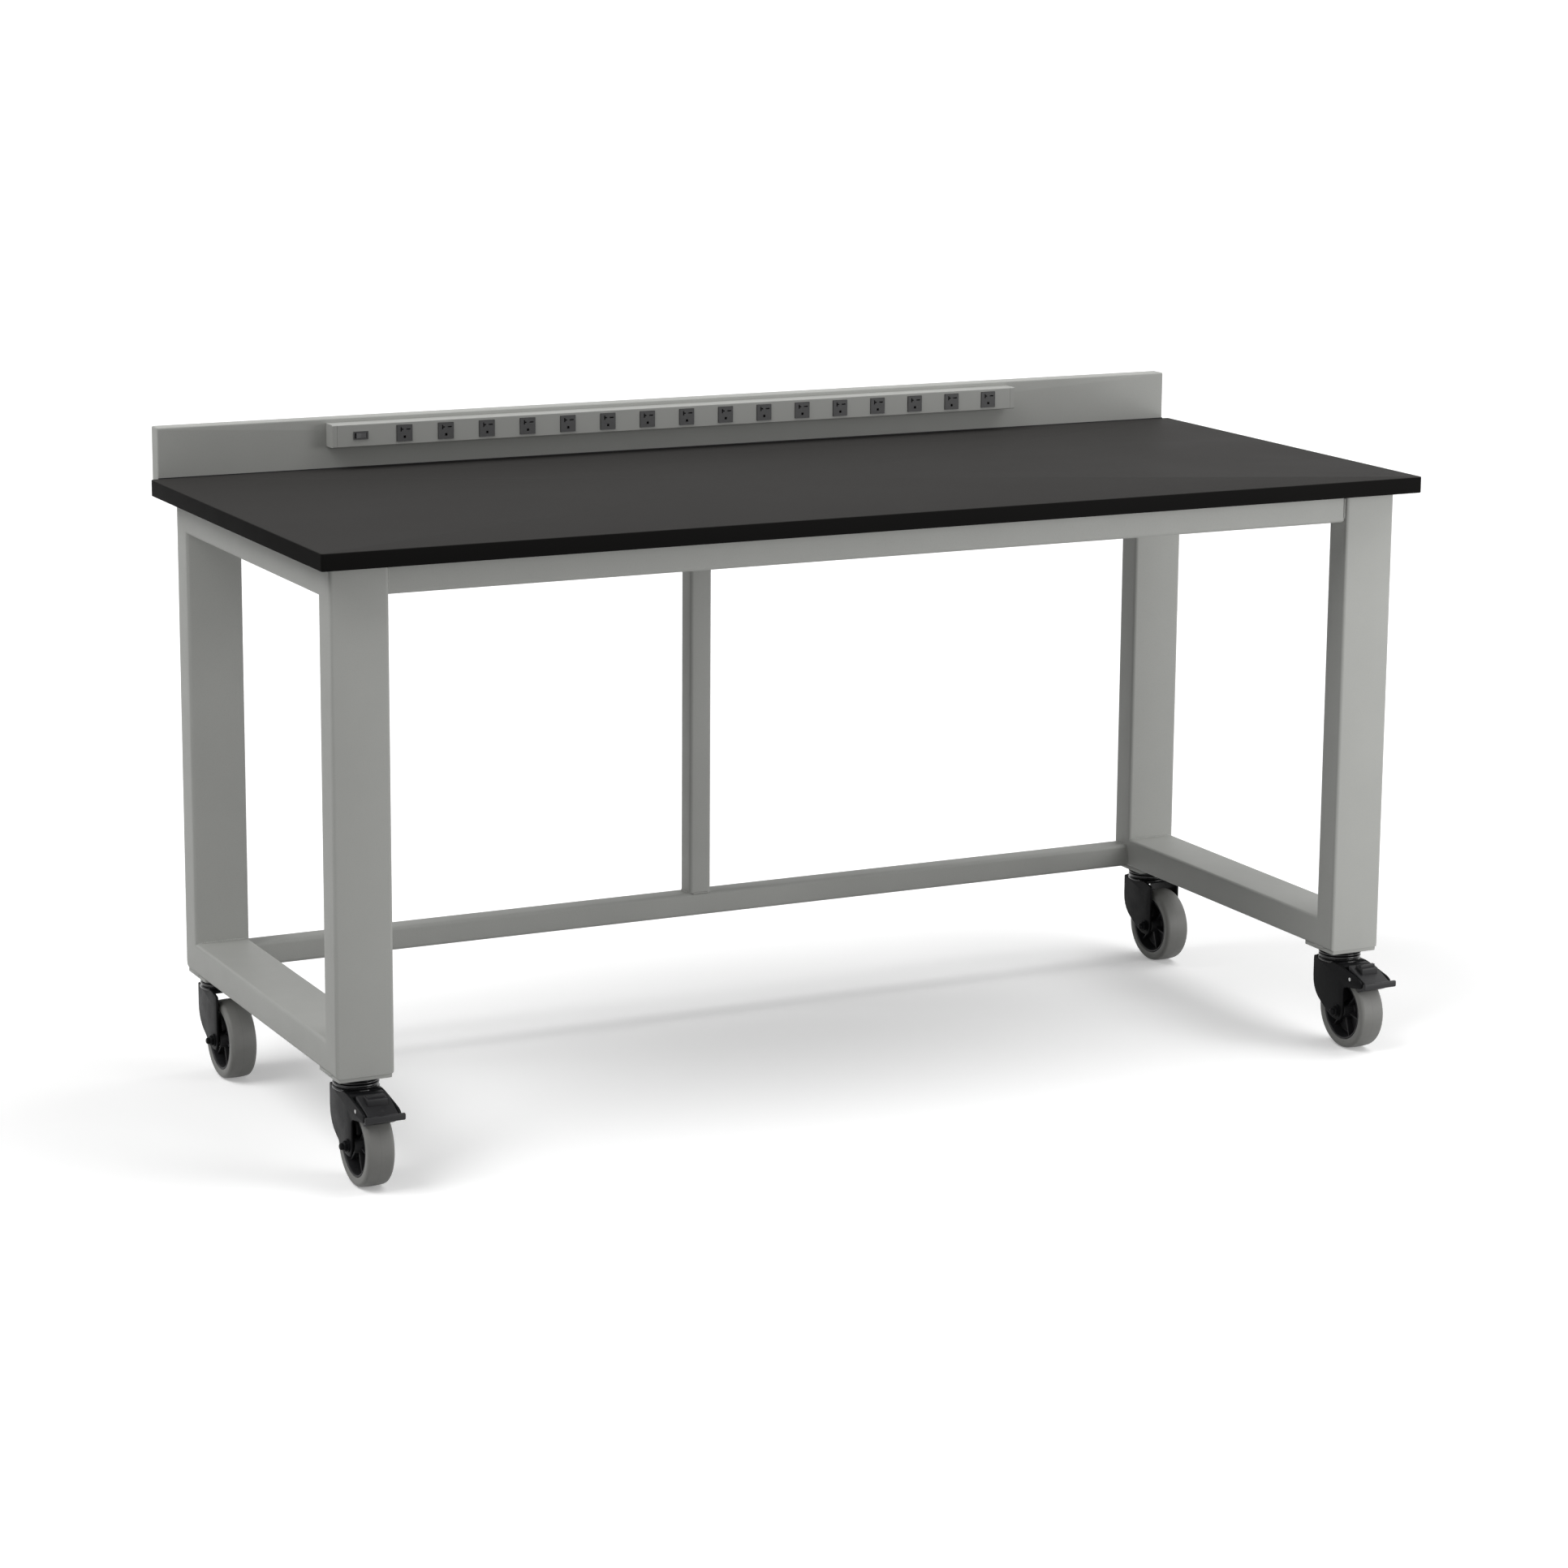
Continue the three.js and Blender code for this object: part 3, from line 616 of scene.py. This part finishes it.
class BENCH_OT_welds(bpy.types.Operator):
    """Lays painted weld beads where the tubes meet"""

    bl_idname = "bench.welds"
    bl_label = "Weld Beads"

    def execute(self, context):
        radius = sizes().weld_size
        inset = sizes().tube_corner
        post_inset, leg_inset = 4 * MM, 5 * MM
        upright_ripples, level_ripples, leg_ripples, leg_swell = 12, 10, 22, 1.2
        beads = []
        for node in ("front_apron", "rear_top_rail", "rear_stretcher"):
            lowest, highest = low(node), high(node)
            for x in (lowest[0], highest[0]):
                for y in (lowest[1], highest[1]):
                    foot, head = [x, y, lowest[2] + inset], [x, y, highest[2] - inset]
                    beads.append(bead(foot, head, radius, upright_ripples))
                near, far = [x, lowest[1] + inset, lowest[2]], [x, highest[1] - inset, lowest[2]]
                beads.append(bead(near, far, radius, level_ripples))
        lowest, highest = low("rear_post"), high("rear_post")
        for z in (lowest[2], highest[2]):
            for y in (lowest[1], highest[1]):
                left, right = [lowest[0] + post_inset, y, z], [highest[0] - post_inset, y, z]
                beads.append(bead(left, right, radius, level_ripples))
            for x in (lowest[0], highest[0]):
                near, far = [x, lowest[1] + post_inset, z], [x, highest[1] - post_inset, z]
                beads.append(bead(near, far, radius, level_ripples))
        for side in ("left", "right"):
            leg_low, leg_high = low(f"leg_front_{side}"), high(f"leg_front_{side}")
            rear_low = low(f"leg_rear_{side}")
            depth = leg_high[1] - leg_low[1]
            bottom, top = leg_low[2] + depth, leg_high[2] - depth
            left, right = leg_low[0] + leg_inset, leg_high[0] - leg_inset
            for y in (leg_high[1], rear_low[1]):
                for z in (bottom, top):
                    beads.append(bead([left, y, z], [right, y, z], radius * leg_swell, leg_ripples))
        piece("frame_weld_beads", "bench", frame_powder_coat, beads)
        return {"FINISHED"}


# Worktop, backsplash and strip

class BENCH_OT_worktop(bpy.types.Operator):
    """Builds the worktop slab with its eased edges and a thin black strip along the backsplash, painted shade
    for the shadow gap there
    """

    bl_idname = "bench.worktop"
    bl_label = "Worktop"

    def execute(self, context):
        slab = rounded_block(low("worktop"), high("worktop"), sizes().worktop_corner, sizes().worktop_edge)
        piece("worktop_slab", "bench", worktop_resin, [slab], ["worktop"])
        splash_low, splash_high = low("backsplash"), high("backsplash")
        rear, top = high("worktop")[1], high("worktop")[2]
        lap, sunk, proud, edge = 1.5 * MM, 1 * MM, 1.2 * MM, 0.4 * MM
        # A thin black strip at the worktop's rear edge: painted shade standing in for the shadow gap at the
        # backsplash.
        gap_shade_strip = rounded_block(
            [splash_low[0], rear - lap, top - sunk], [splash_high[0], rear + SEAM, top + proud], edge, edge, 2
        )
        piece("splash_shadow_gap_strip", "bench", black_moulding, [gap_shade_strip])
        return {"FINISHED"}


class BENCH_OT_backsplash(bpy.types.Operator):
    """Builds the folded backsplash channel"""

    bl_idname = "bench.backsplash"
    bl_label = "Backsplash"

    def execute(self, context):
        lowest, highest = low("backsplash"), high("backsplash")
        sheet, inner_bend = 2 * MM, 1 * MM
        flange, flange_corner, flange_edge, rim_gap = 14 * MM, 0.6 * MM, 0.5 * MM, 0.1 * MM
        bend = sizes().sheet_bend
        middle = (lowest + highest) / 2
        half = (highest - lowest) / 2

        def ring(inset, y, radius):
            loop = rounded_loop(half[0] - inset, half[2] - inset, radius)
            return np.column_stack([loop[:, 0] + middle[0], np.full(len(loop), y), loop[:, 1] + middle[2]])

        angle = np.linspace(0, np.pi / 2, 6)
        front = [ring(bend * (1 - math.sin(a)), lowest[1] + bend * (1 - math.cos(a)), bend) for a in angle]
        rim = [ring(0, highest[1], bend), ring(sheet, highest[1], inner_bend)]
        inside = [ring(sheet, lowest[1] + sheet, inner_bend)]
        shell = capped([*front, *rim, *inside])
        flanges = [
            rounded_block(
                [lowest[0] + sheet, highest[1] - sheet, z - flange / 2],
                [highest[0] - sheet, highest[1] - rim_gap, z + flange / 2],
                flange_corner, flange_edge, 2,
            )
            for z in (lowest[2] + sheet + flange / 2, highest[2] - sheet - flange / 2)
        ]
        grids = [shell, *flanges]
        piece("backsplash_sheet", "bench", frame_powder_coat, grids, ["backsplash"])
        return {"FINISHED"}


class BENCH_OT_strip(bpy.types.Operator):
    """Gives the outlet strip's own solids their finishes"""

    bl_idname = "bench.strip"
    bl_label = "Outlet Strip"

    def execute(self, context):
        finishes = {
            "strip_housing": strip_enamel,
            "strip_cap_left": strip_enamel,
            "strip_cap_right": strip_enamel,
            "outlet_carrier": outlet_moulding,
            "switch_bezel": outlet_moulding,
            "rocker_switch": switch_moulding,
            "cord_gland": black_moulding,
            "bus_bar_line": conductor_brass,
            "bus_bar_neutral": conductor_brass,
            "bus_bar_earth": conductor_brass,
        }
        for node, maker in finishes.items():
            dress(node, maker)
        return {"FINISHED"}


def dress(node, maker):
    """Gives a solid that stays in view its finish."""
    slots = frame["nodes"][node].data.materials
    slots.clear()
    slots.append(finish_named(maker))


# Casters

def corner_transform(corner):
    """Turns and moves points from a caster's own frame (pivot on +Z, wheel axis on X, front at -Y)."""
    pivot = JOINTS[f"swivel_{corner}"]["pos_m"]
    axis = JOINTS[f"wheel_spin_{corner}"]["axis"]
    turn = math.atan2(axis[1], axis[0])
    c, s = math.cos(turn), math.sin(turn)
    matrix = np.array([[c, -s, 0], [s, c, 0], [0, 0, 1]])
    return lambda points: points @ matrix.T + [pivot[0], pivot[1], 0]


def on_axle(points):
    """Lays a turned shape along the wheel axis: its own +Z becomes -X, at the axle."""
    return np.stack([-points[..., 2], points[..., 1] - CASTER["trail"], points[..., 0] + CASTER["wheel"]], -1)


def caster_sizes():
    """Sizes of a caster: places from the joints, the rest in the caster's own design."""
    pivot = np.array(JOINTS["swivel_front_left"]["pos_m"])
    axle = np.array(JOINTS["wheel_spin_front_left"]["pos_m"])
    pin = np.array(JOINTS["pedal_tilt_front_left"]["pos_m"])
    race_top, race_height = float(high("caster_race_front_left")[2]), 8 * MM
    return {
        "trail": float(np.hypot(*(axle - pivot)[:2])),
        "wheel": float(axle[2]),
        "pin_reach": float(np.hypot(*(pin - pivot)[:2])),
        "pin": float(pin[2]),
        "race_top": race_top,
        "race_radius": 34 * MM,
        "race_height": race_height,
        "crown_top": race_top - 2 * race_height - SEAM,
        "crown": 5 * MM,
        "tyre_half": 21 * MM,
        "shoulder": 6 * MM,
        "rim": 47 * MM,
        "boss_half": 23 * MM,
        "arm_inner": 25 * MM,
        "arm_sheet": 4 * MM,
        "arm_end": 15 * MM,
        "arm_rear": 31 * MM,
        "arm_knee": 88 * MM,
        "arm_middle": 118 * MM,
        "lug_reach": 103 * MM,
        "lug_top": 131 * MM,
        "lug_foot": 109 * MM,
        "lip_reach": 112 * MM,
        "lip": 119 * MM,
        "plate_reach": 60 * MM,
        "plate_top": 141 * MM,
        "lip_half": 31 * MM,
        "shoe_reach": 86 * MM,
        "shoe_gap": 1.5 * MM,
    }


CASTER = caster_sizes()


def race_surface():
    """The fixed race: two stacked rolled rings with a groove between them."""
    r, top = CASTER["race_radius"], CASTER["race_top"] + SEAM
    foot = CASTER["race_top"] - CASTER["race_height"]
    profile = [
        (0, foot), (r - 2 * MM, foot), (r, foot + 1 * MM), (r, foot + 3 * MM),
        (r - 3 * MM, foot + 4 * MM), (r - 3 * MM, foot + 5 * MM), (r - 1 * MM, foot + 6 * MM),
        (r - 1 * MM, top), (0, top),
    ]
    return lathe(rolled(profile, 1.2 * MM), 64)


def fork_race_surface():
    """The fork's own race and crown: a rolled ring, a waist and a broad shoulder that the arms fall from."""
    r, crown = CASTER["race_radius"], CASTER["crown_top"]
    top = crown + CASTER["race_height"]
    foot = crown - CASTER["crown"]
    bore = 9 * MM
    profile = [
        (bore, foot), (r - 4 * MM, foot), (r + 0.5 * MM, foot + 3 * MM), (r + 0.5 * MM, crown),
        (r - 3 * MM, crown + 2 * MM), (r - 3 * MM, crown + 3 * MM), (r, crown + 4 * MM),
        (r, top - 1 * MM), (r - 2 * MM, top), (bore, top),
    ]
    profile = rolled(profile, 1.4 * MM)
    return lathe(np.vstack([profile, profile[:1]]), 64)


def softened(corners, radius, steps=5):
    """A closed outline with a quadratic bend of its own radius at every corner."""
    corners, radius = np.asarray(corners, float), np.asarray(radius, float).reshape(-1, 1)
    before, after = np.roll(corners, 1, 0), np.roll(corners, -1, 0)
    into = np.linalg.norm(before - corners, axis=1, keepdims=True)
    out = np.linalg.norm(after - corners, axis=1, keepdims=True)
    start = corners + (before - corners) / into * np.minimum(radius, into * 0.48)
    end = corners + (after - corners) / out * np.minimum(radius, out * 0.48)
    t = np.linspace(0, 1, steps + 1)[None, :, None]
    bend = (1 - t) ** 2 * start[:, None] + 2 * t * (1 - t) * corners[:, None] + t**2 * end[:, None]
    return bend.reshape(-1, 2)


def plate_surface(outline, centre, x0, x1, edge, steps=3):
    """A plate across X: a clockwise outline in (y, z), drawn in along its own normals where the edges roll
    over, and closed on a centre from which the whole outline is in sight."""
    along = np.roll(outline, -1, 0) - np.roll(outline, 1, 0)
    along /= np.linalg.norm(along, axis=1, keepdims=True)
    inward = np.column_stack([along[:, 1], -along[:, 0]])
    angle = np.linspace(0, np.pi / 2, steps + 1)
    inset = edge * (1 - np.sin(angle))
    roll = edge * (1 - np.cos(angle))
    insets = np.concatenate([inset, inset[::-1]])
    places = np.concatenate([x0 + roll, x1 - roll[::-1]])
    rings = outline[None] + insets[:, None, None] * inward[None]
    points = np.empty((len(places) + 2, len(outline), 3))
    points[1:-1, :, 1:] = rings
    points[1:-1, :, 0] = places[:, None]
    points[0] = (x0, *centre)
    points[-1] = (x1, *centre)
    return Grid(points)


def arm_outline(braked):
    """Clockwise outline of an arm in (y, z): down its straight rear edge, forward to the round axle end, up
    the upright front edge, and on a braked one out round the lug that carries the pedal."""
    y, z, end = -CASTER["trail"], CASTER["wheel"], CASTER["arm_end"]
    top = CASTER["crown_top"]
    rear, knee, front = CASTER["arm_rear"], CASTER["arm_knee"], y - end
    reach, lug, foot = CASTER["lug_reach"], CASTER["lug_top"], CASTER["lug_foot"]
    corners = [(rear, top, 4), (rear, knee - 8 * MM, 26), (y + end * 0.9, z - end, 14), (front, z - end, 18)]
    if braked:
        corners += [
            (front, foot - 4 * MM, 8), (-reach + 2 * MM, foot + 4 * MM, 4), (-reach, lug - 6 * MM, 16),
            (-CASTER["pin_reach"], lug + 1 * MM, 20), (-CASTER["race_radius"], top, 8),
        ]
    else:
        corners += [(front, top - CASTER["crown"], 3), (-CASTER["race_radius"], top, 6)]
    corners = np.array(corners)
    return softened(corners[:, :2], corners[:, 2] * MM)


def fork_surfaces(braked):
    """Two arms and the bridge between them, below the fork's race, and on a braked fork an apron ahead."""
    inner, sheet = CASTER["arm_inner"], CASTER["arm_sheet"]
    crown = CASTER["crown_top"]
    foot = crown - CASTER["crown"]
    centre, edge = (-CASTER["trail"], CASTER["arm_middle"]), 1.2 * MM
    outline = arm_outline(braked)
    left = plate_surface(outline, centre, -inner - sheet, -inner, edge)
    right = plate_surface(outline, centre, inner, inner + sheet, edge)
    bridge = rounded_block(
        [-inner - sheet * 0.7, -CASTER["race_radius"], foot],
        [inner + sheet * 0.7, CASTER["arm_rear"] - 1 * MM, crown + 0.5 * MM], 5 * MM, 2 * MM,
    )
    grids = [left, right, bridge]
    if braked:
        apron = CASTER["trail"] + 12 * MM
        grids.append(rounded_block(
            [-inner - 1 * MM, -apron, foot - 8 * MM],
            [inner + 1 * MM, -CASTER["race_radius"] + 4 * MM, crown - 1 * MM],
            3 * MM, 1.5 * MM,
        ))
    return grids


def wheel_profiles():
    """Profiles of the tyre and the dished hub, as (radius, place along the axle)."""
    wheel, half, rim, shoulder = CASTER["wheel"], CASTER["tyre_half"], CASTER["rim"], CASTER["shoulder"]
    crown = 0.8 * MM
    turn = np.linspace(0, np.pi / 2, 10)
    right = np.column_stack([
        wheel - crown - shoulder + shoulder * np.cos(turn), half - shoulder + shoulder * np.sin(turn)
    ])
    across = np.linspace(-1, 1, 11)[1:-1]
    middle = np.column_stack([wheel - crown * across**2, across * (half - shoulder)])
    lip = np.array([(rim + 3 * MM, half), (rim + 1 * MM, half - 0.6 * MM), (rim, half - 2 * MM)])
    flip = np.array([1, -1])
    tyre = np.vstack([lip[::-1] * flip, right[::-1] * flip, middle, right, lip])
    inner, web, boss = rim - 3.5 * MM, 2.5 * MM, CASTER["boss_half"]
    hub = rolled(
        [
            (5.6 * MM, boss - 2 * MM), (9 * MM, boss), (11.5 * MM, boss - 1 * MM), (14 * MM, web + 1 * MM),
            (inner - 3 * MM, web), (inner, half - 3 * MM), (inner + 1 * MM, half - 1 * MM),
            (rim - 0.2 * MM, half - 1 * MM), (rim - 0.2 * MM, 0),
        ],
        1.3 * MM,
    )
    hub = np.vstack([hub, hub[::-1] * flip])
    return np.vstack([tyre, tyre[:1]]), np.vstack([hub, hub[:1]])


def rib_surfaces():
    """Six radial ribs on each side of the hub's web."""
    inner, depth = CASTER["rim"] - 3 * MM, CASTER["tyre_half"] - 8 * MM
    rib = rounded_block([11 * MM, -1.4 * MM, -depth], [inner, 1.4 * MM, depth], 0.8 * MM, 1 * MM, 2)

    def turned(angle):
        c, s = math.cos(angle), math.sin(angle)
        turn = np.array([[c, s, 0], [-s, c, 0], [0, 0, 1]])
        return lambda points: points @ turn

    return [rib.moved(turned(k * math.pi / 3 + 0.3)) for k in range(6)]


def axle_surfaces():
    """The axle bolt: a shank, a hexagon with a washer at both ends, and a rounded tail on the left."""
    arm, radius = CASTER["arm_inner"] + CASTER["arm_sheet"] + SEAM, 5 * MM
    tail = arm + 12 * MM
    shank = [(0, -arm), (radius, -arm), (radius, tail - 1.5 * MM), (radius - 1.5 * MM, tail), (0, tail)]
    grids = [lathe(rolled(shank, 1 * MM), 24)]
    seat, face = arm + 1.4 * MM, arm + 7 * MM
    washer = [(radius, arm), (10 * MM, arm), (10 * MM, seat), (radius, seat), (radius, arm)]
    nut = [(4 * MM, seat), (8.2 * MM, seat), (8.2 * MM, face - 1.4 * MM), (7 * MM, face), (4 * MM, face)]
    nut.append(nut[0])
    for sign in (1, -1):
        grids += [lathe(np.array(washer) * [1, sign], 24), lathe(np.array(nut) * [1, sign], 6)]
    return grids


def pedal_surfaces():
    """The brake pedal: a wedge between the arms whose top slopes to a broad turned lip and whose shoe follows
    the tyre, a raised tread with a step on it, and the barrel round its pin."""
    inner = CASTER["arm_inner"] - 1.5 * MM
    tip, lip = CASTER["lip_reach"], CASTER["lip"]
    rear, top = CASTER["plate_reach"], CASTER["plate_top"]
    fall = (top - lip) / (tip - rear)

    def plate_at(reach):
        return lip + (tip - reach) * fall

    shoe = CASTER["wheel"] + CASTER["shoe_gap"]
    reach = np.linspace(CASTER["shoe_reach"], CASTER["pin_reach"], 7)
    foot = CASTER["wheel"] + np.sqrt(shoe**2 - (reach - CASTER["trail"]) ** 2)
    pin_y, pin = -CASTER["pin_reach"], CASTER["pin"]
    ahead = np.array([(-tip, lip - 4 * MM), (-tip, lip)])
    painted_slot_shade = np.array([(-rear, top), (-rear, pin + 6 * MM)])
    outline = np.vstack([np.column_stack([-reach, foot])[::-1], ahead, painted_slot_shade])
    middle, sunk = (-85 * MM, 124 * MM), 2 * MM
    wedge = plate_surface(outline, middle, -inner, inner, 1.2 * MM)
    grids = [wedge]
    tread, step = (66, 85, 10, 15), (70, 79, 13, 13.5)
    for start, end, raised, half in np.array([tread, step]) * MM:
        front, back = plate_at(end), plate_at(start)
        corners = np.array([
            (-end, front - sunk), (-end, front + raised), (-start, back + raised / 2), (-start, back - sunk)
        ])
        block = softened(corners, np.array([1, 2, 1.5, 1]) * MM)
        grids.append(plate_surface(block, corners.mean(0), -half, half, 1 * MM))
    bar = np.array([CASTER["lip_half"], 3 * MM, 5 * MM])
    bar_middle = np.array([0, -tip, lip])
    grids.append(rounded_block(bar_middle - bar, bar_middle + bar, 2.6 * MM, 2.2 * MM))
    bore, wall = 3.3 * MM, 6 * MM
    barrel = rolled([(bore, -inner), (wall, -inner), (wall, inner), (bore, inner)], 0.8 * MM)
    barrel = lathe(np.vstack([barrel, barrel[:1]]), 24)
    grids.append(barrel.moved(lambda p: np.stack([p[..., 2], p[..., 0] + pin_y, p[..., 1] + pin], -1)))
    return grids


class BENCH_OT_casters(bpy.types.Operator):
    """Builds the four casters, their wheels and the front brake pedals"""

    bl_idname = "bench.casters"
    bl_label = "Casters"

    def execute(self, context):
        tyre_profile, hub_profile = wheel_profiles()
        tyre = lathe(tyre_profile, 96).moved(on_axle)
        for corner in CORNERS:
            braked = corner in BRAKED
            place = corner_transform(corner)
            swivel, wheel = f"swivel_{corner}", f"wheel_{corner}"
            parts = [
                ("race_rings", "bench", "caster_enamel", race_gloss, [race_surface()], "caster_race"),
                ("fork_race", swivel, "caster_enamel", race_gloss, [fork_race_surface()], None),
                ("fork_shell", swivel, "caster_enamel", black_enamel, fork_surfaces(braked), "caster_fork"),
                (
                    "axle_bolt", swivel, "caster_enamel", black_enamel,
                    [g.moved(on_axle) for g in axle_surfaces()], "wheel_axle",
                ),
                (
                    "hub_dish", wheel, "black_plastic", black_moulding,
                    [g.moved(on_axle) for g in (lathe(hub_profile, 64), *rib_surfaces())], "wheel_hub",
                ),
                ("tyre_ring", wheel, "tyre_rubber", tyre_rubber, [tyre], "tyre"),
            ]
            if braked:
                pedal = f"pedal_{corner}"
                grids = pedal_surfaces()
                parts.append(("pedal_plate", pedal, "black_plastic", black_moulding, grids, "brake_pedal"))
                dress(f"pedal_pin_{corner}", plated_steel)
            dress(f"kingpin_nut_{corner}", plated_steel)
            for name, body, slot, maker, grids, node in parts:
                moved = [g.moved(place) for g in grids]
                nodes = [f"{node}_{corner}"] if node else []
                piece(f"{name}_{corner}", body, maker, moved, nodes)
        return {"FINISHED"}


# Stage

# The photograph's camera, fitted to the bench's straight edges: pixels, metres and degrees
PHOTO_SIDE = 1932
FOCAL_PIXELS = 5089
PRINCIPAL_LIFT = 100
CAMERA_PLACE = (-2.835, float(low("worktop")[1]) - 5.315, 1.870)
CAMERA_YAW, CAMERA_PITCH, CAMERA_ROLL = 26.36, 11.52, 0.42

# The floor's colour in view and for light that bounces, and the light of the sky, the suns and the panel
FLOOR_SIDE, FLOOR_DROP, FLOOR_GLOW = 150, 0.5 * MM, 0.25
FLOOR_SEEN, FLOOR_BOUNCE = (0.97, 0.97, 0.97), (0.36, 0.36, 0.36)
SKY_BRIGHT_SIDE = (0, 0, 1)
SKY_LEVEL, SKY_SLOPE = 0.23, 0.2
SUNS = (("key_from_left", 1.45, (0.6, 0.06, -0.78)), ("fill_from_right", 1.0, (-0.5, 0.12, -0.85)))
SUN_SPREAD = math.radians(40)
PANEL_POWER, PANEL_SIZE = 50, 1.8
PANEL_PLACE, PANEL_AIM = (2.3, -2.9, 0.9), (-0.62, 0.78, -0.1)


def seen_directly(nodes):
    """1 for rays from the camera, or by way of gloss or glass; 0 for light bouncing onto the object."""
    path = "ShaderNodeLightPath"
    direct = nodes.node(path, output="Is Camera Ray")
    glossy = nodes.node(path, output="Is Glossy Ray")
    through = nodes.node(path, output="Is Transmission Ray")
    return direct.math("MAXIMUM", direct.math("MAXIMUM", direct, glossy), through)


class BENCH_OT_stage(bpy.types.Operator):
    """Adds the camera, the pale floor and the studio light"""

    bl_idname = "bench.stage"
    bl_label = "Stage"

    def execute(self, context):
        scene = context.scene
        scene.view_settings.view_transform = "Standard"
        self.add_camera(scene)
        self.add_floor(scene)
        self.add_light(scene)
        return {"FINISHED"}

    def add_camera(self, scene):
        data = bpy.data.cameras.new("photo_camera")
        data.sensor_width = 36
        data.lens = FOCAL_PIXELS / PHOTO_SIDE * data.sensor_width
        data.shift_y = -PRINCIPAL_LIFT / PHOTO_SIDE
        data.clip_end = 500
        yaw, pitch, roll = map(math.radians, (CAMERA_YAW, CAMERA_PITCH, CAMERA_ROLL))
        forward = Vector((math.sin(yaw) * math.cos(pitch), math.cos(yaw) * math.cos(pitch), -math.sin(pitch)))
        right = Vector((math.cos(yaw), -math.sin(yaw), 0))
        up = right.cross(forward)
        tilted_right = right * math.cos(roll) + up * math.sin(roll)
        tilted_up = up * math.cos(roll) - right * math.sin(roll)
        turn = Matrix((tilted_right, tilted_up, -forward)).transposed()
        camera = bpy.data.objects.new("photo_camera", data)
        camera.matrix_world = Matrix.Translation(CAMERA_PLACE) @ turn.to_4x4()
        scene.collection.objects.link(camera)
        scene.camera = camera

    def add_floor(self, scene):
        mesh = bpy.data.meshes.new("floor")
        corners = np.array([[-1, -1, 0], [1, -1, 0], [1, 1, 0], [-1, 1, 0]]) * FLOOR_SIDE
        mesh.from_pydata(corners.tolist(), [], [(0, 1, 2, 3)])
        made = Finish("floor_white", Roughness=1.0, Specular_IOR_Level=0.0, Emission_Strength=FLOOR_GLOW)
        seen = seen_directly(made)
        paint = made.mix(seen, FLOOR_BOUNCE, FLOOR_SEEN)
        glow = made.mix(seen, (0, 0, 0), (1, 1, 1))
        mesh.materials.append(made.feed(Base_Color=paint, Emission_Color=glow))
        floor = bpy.data.objects.new("floor", mesh)
        floor.location.z = -FLOOR_DROP
        scene.collection.objects.link(floor)

    def add_light(self, scene):
        """A soft sky, brighter overhead, a broad sun from either side and a low panel at the front right."""
        world = bpy.data.worlds.new("studio_sky")
        scene.world = world
        world.use_nodes = True
        sky = Sky(world)
        towards = sky.node("ShaderNodeTexCoord", output="Generated")
        aim = {0: towards, 1: SKY_BRIGHT_SIDE}
        share = sky.node("ShaderNodeVectorMath", {"operation": "DOT_PRODUCT"}, aim, output="Value")
        lighting = SKY_LEVEL + SKY_SLOPE * share
        sky.feed(lighting + seen_directly(sky) * (1 - lighting))
        for name, energy, aim in SUNS:
            sun = bpy.data.lights.new(name, "SUN")
            sun.energy = energy
            sun.angle = SUN_SPREAD
            self.add_lamp(scene, sun, (0, 0, 3), aim)
        panel = bpy.data.lights.new("panel_front_right", "AREA")
        panel.energy = PANEL_POWER
        panel.size = PANEL_SIZE
        self.add_lamp(scene, panel, PANEL_PLACE, PANEL_AIM)

    def add_lamp(self, scene, data, place, aim):
        lamp = bpy.data.objects.new(data.name, data)
        lamp.location = place
        lamp.rotation_mode = "QUATERNION"
        lamp.rotation_quaternion = Vector(aim).to_track_quat("-Z", "Y")
        lamp.visible_camera = False
        scene.collection.objects.link(lamp)


# Panel and registration

class BENCH_PT_sidebar(bpy.types.Panel):
    """Lists the bench's sizes, colours and pieces"""

    bl_label = "Laboratory Bench"
    bl_idname = "BENCH_PT_sidebar"
    bl_space_type = "VIEW_3D"
    bl_region_type = "UI"
    bl_category = "Bench"

    def draw(self, context):
        column = self.layout.column()
        for group in (context.scene.bench_sizes, context.scene.bench_colours):
            for name in group.__annotations__:
                column.prop(group, name)
        for operator in OPERATORS:
            column.operator(operator.bl_idname)


OPERATORS = (
    BENCH_OT_stage,
    BENCH_OT_frame,
    BENCH_OT_welds,
    BENCH_OT_worktop,
    BENCH_OT_backsplash,
    BENCH_OT_strip,
    BENCH_OT_casters,
)
CLASSES = (BenchSizes, BenchColours, *OPERATORS, BENCH_PT_sidebar)


def register():
    for cls in CLASSES:
        bpy.utils.register_class(cls)
    bpy.types.Scene.bench_sizes = PointerProperty(type=BenchSizes)
    bpy.types.Scene.bench_colours = PointerProperty(type=BenchColours)


def unregister():
    del bpy.types.Scene.bench_colours
    del bpy.types.Scene.bench_sizes
    for cls in reversed(CLASSES):
        bpy.utils.unregister_class(cls)


def main():
    register()
    bpy.ops.bench.stage()
    bpy.ops.bench.frame()
    bpy.ops.bench.welds()
    bpy.ops.bench.worktop()
    bpy.ops.bench.backsplash()
    bpy.ops.bench.strip()
    bpy.ops.bench.casters()


if __name__ == "__main__":
    main()
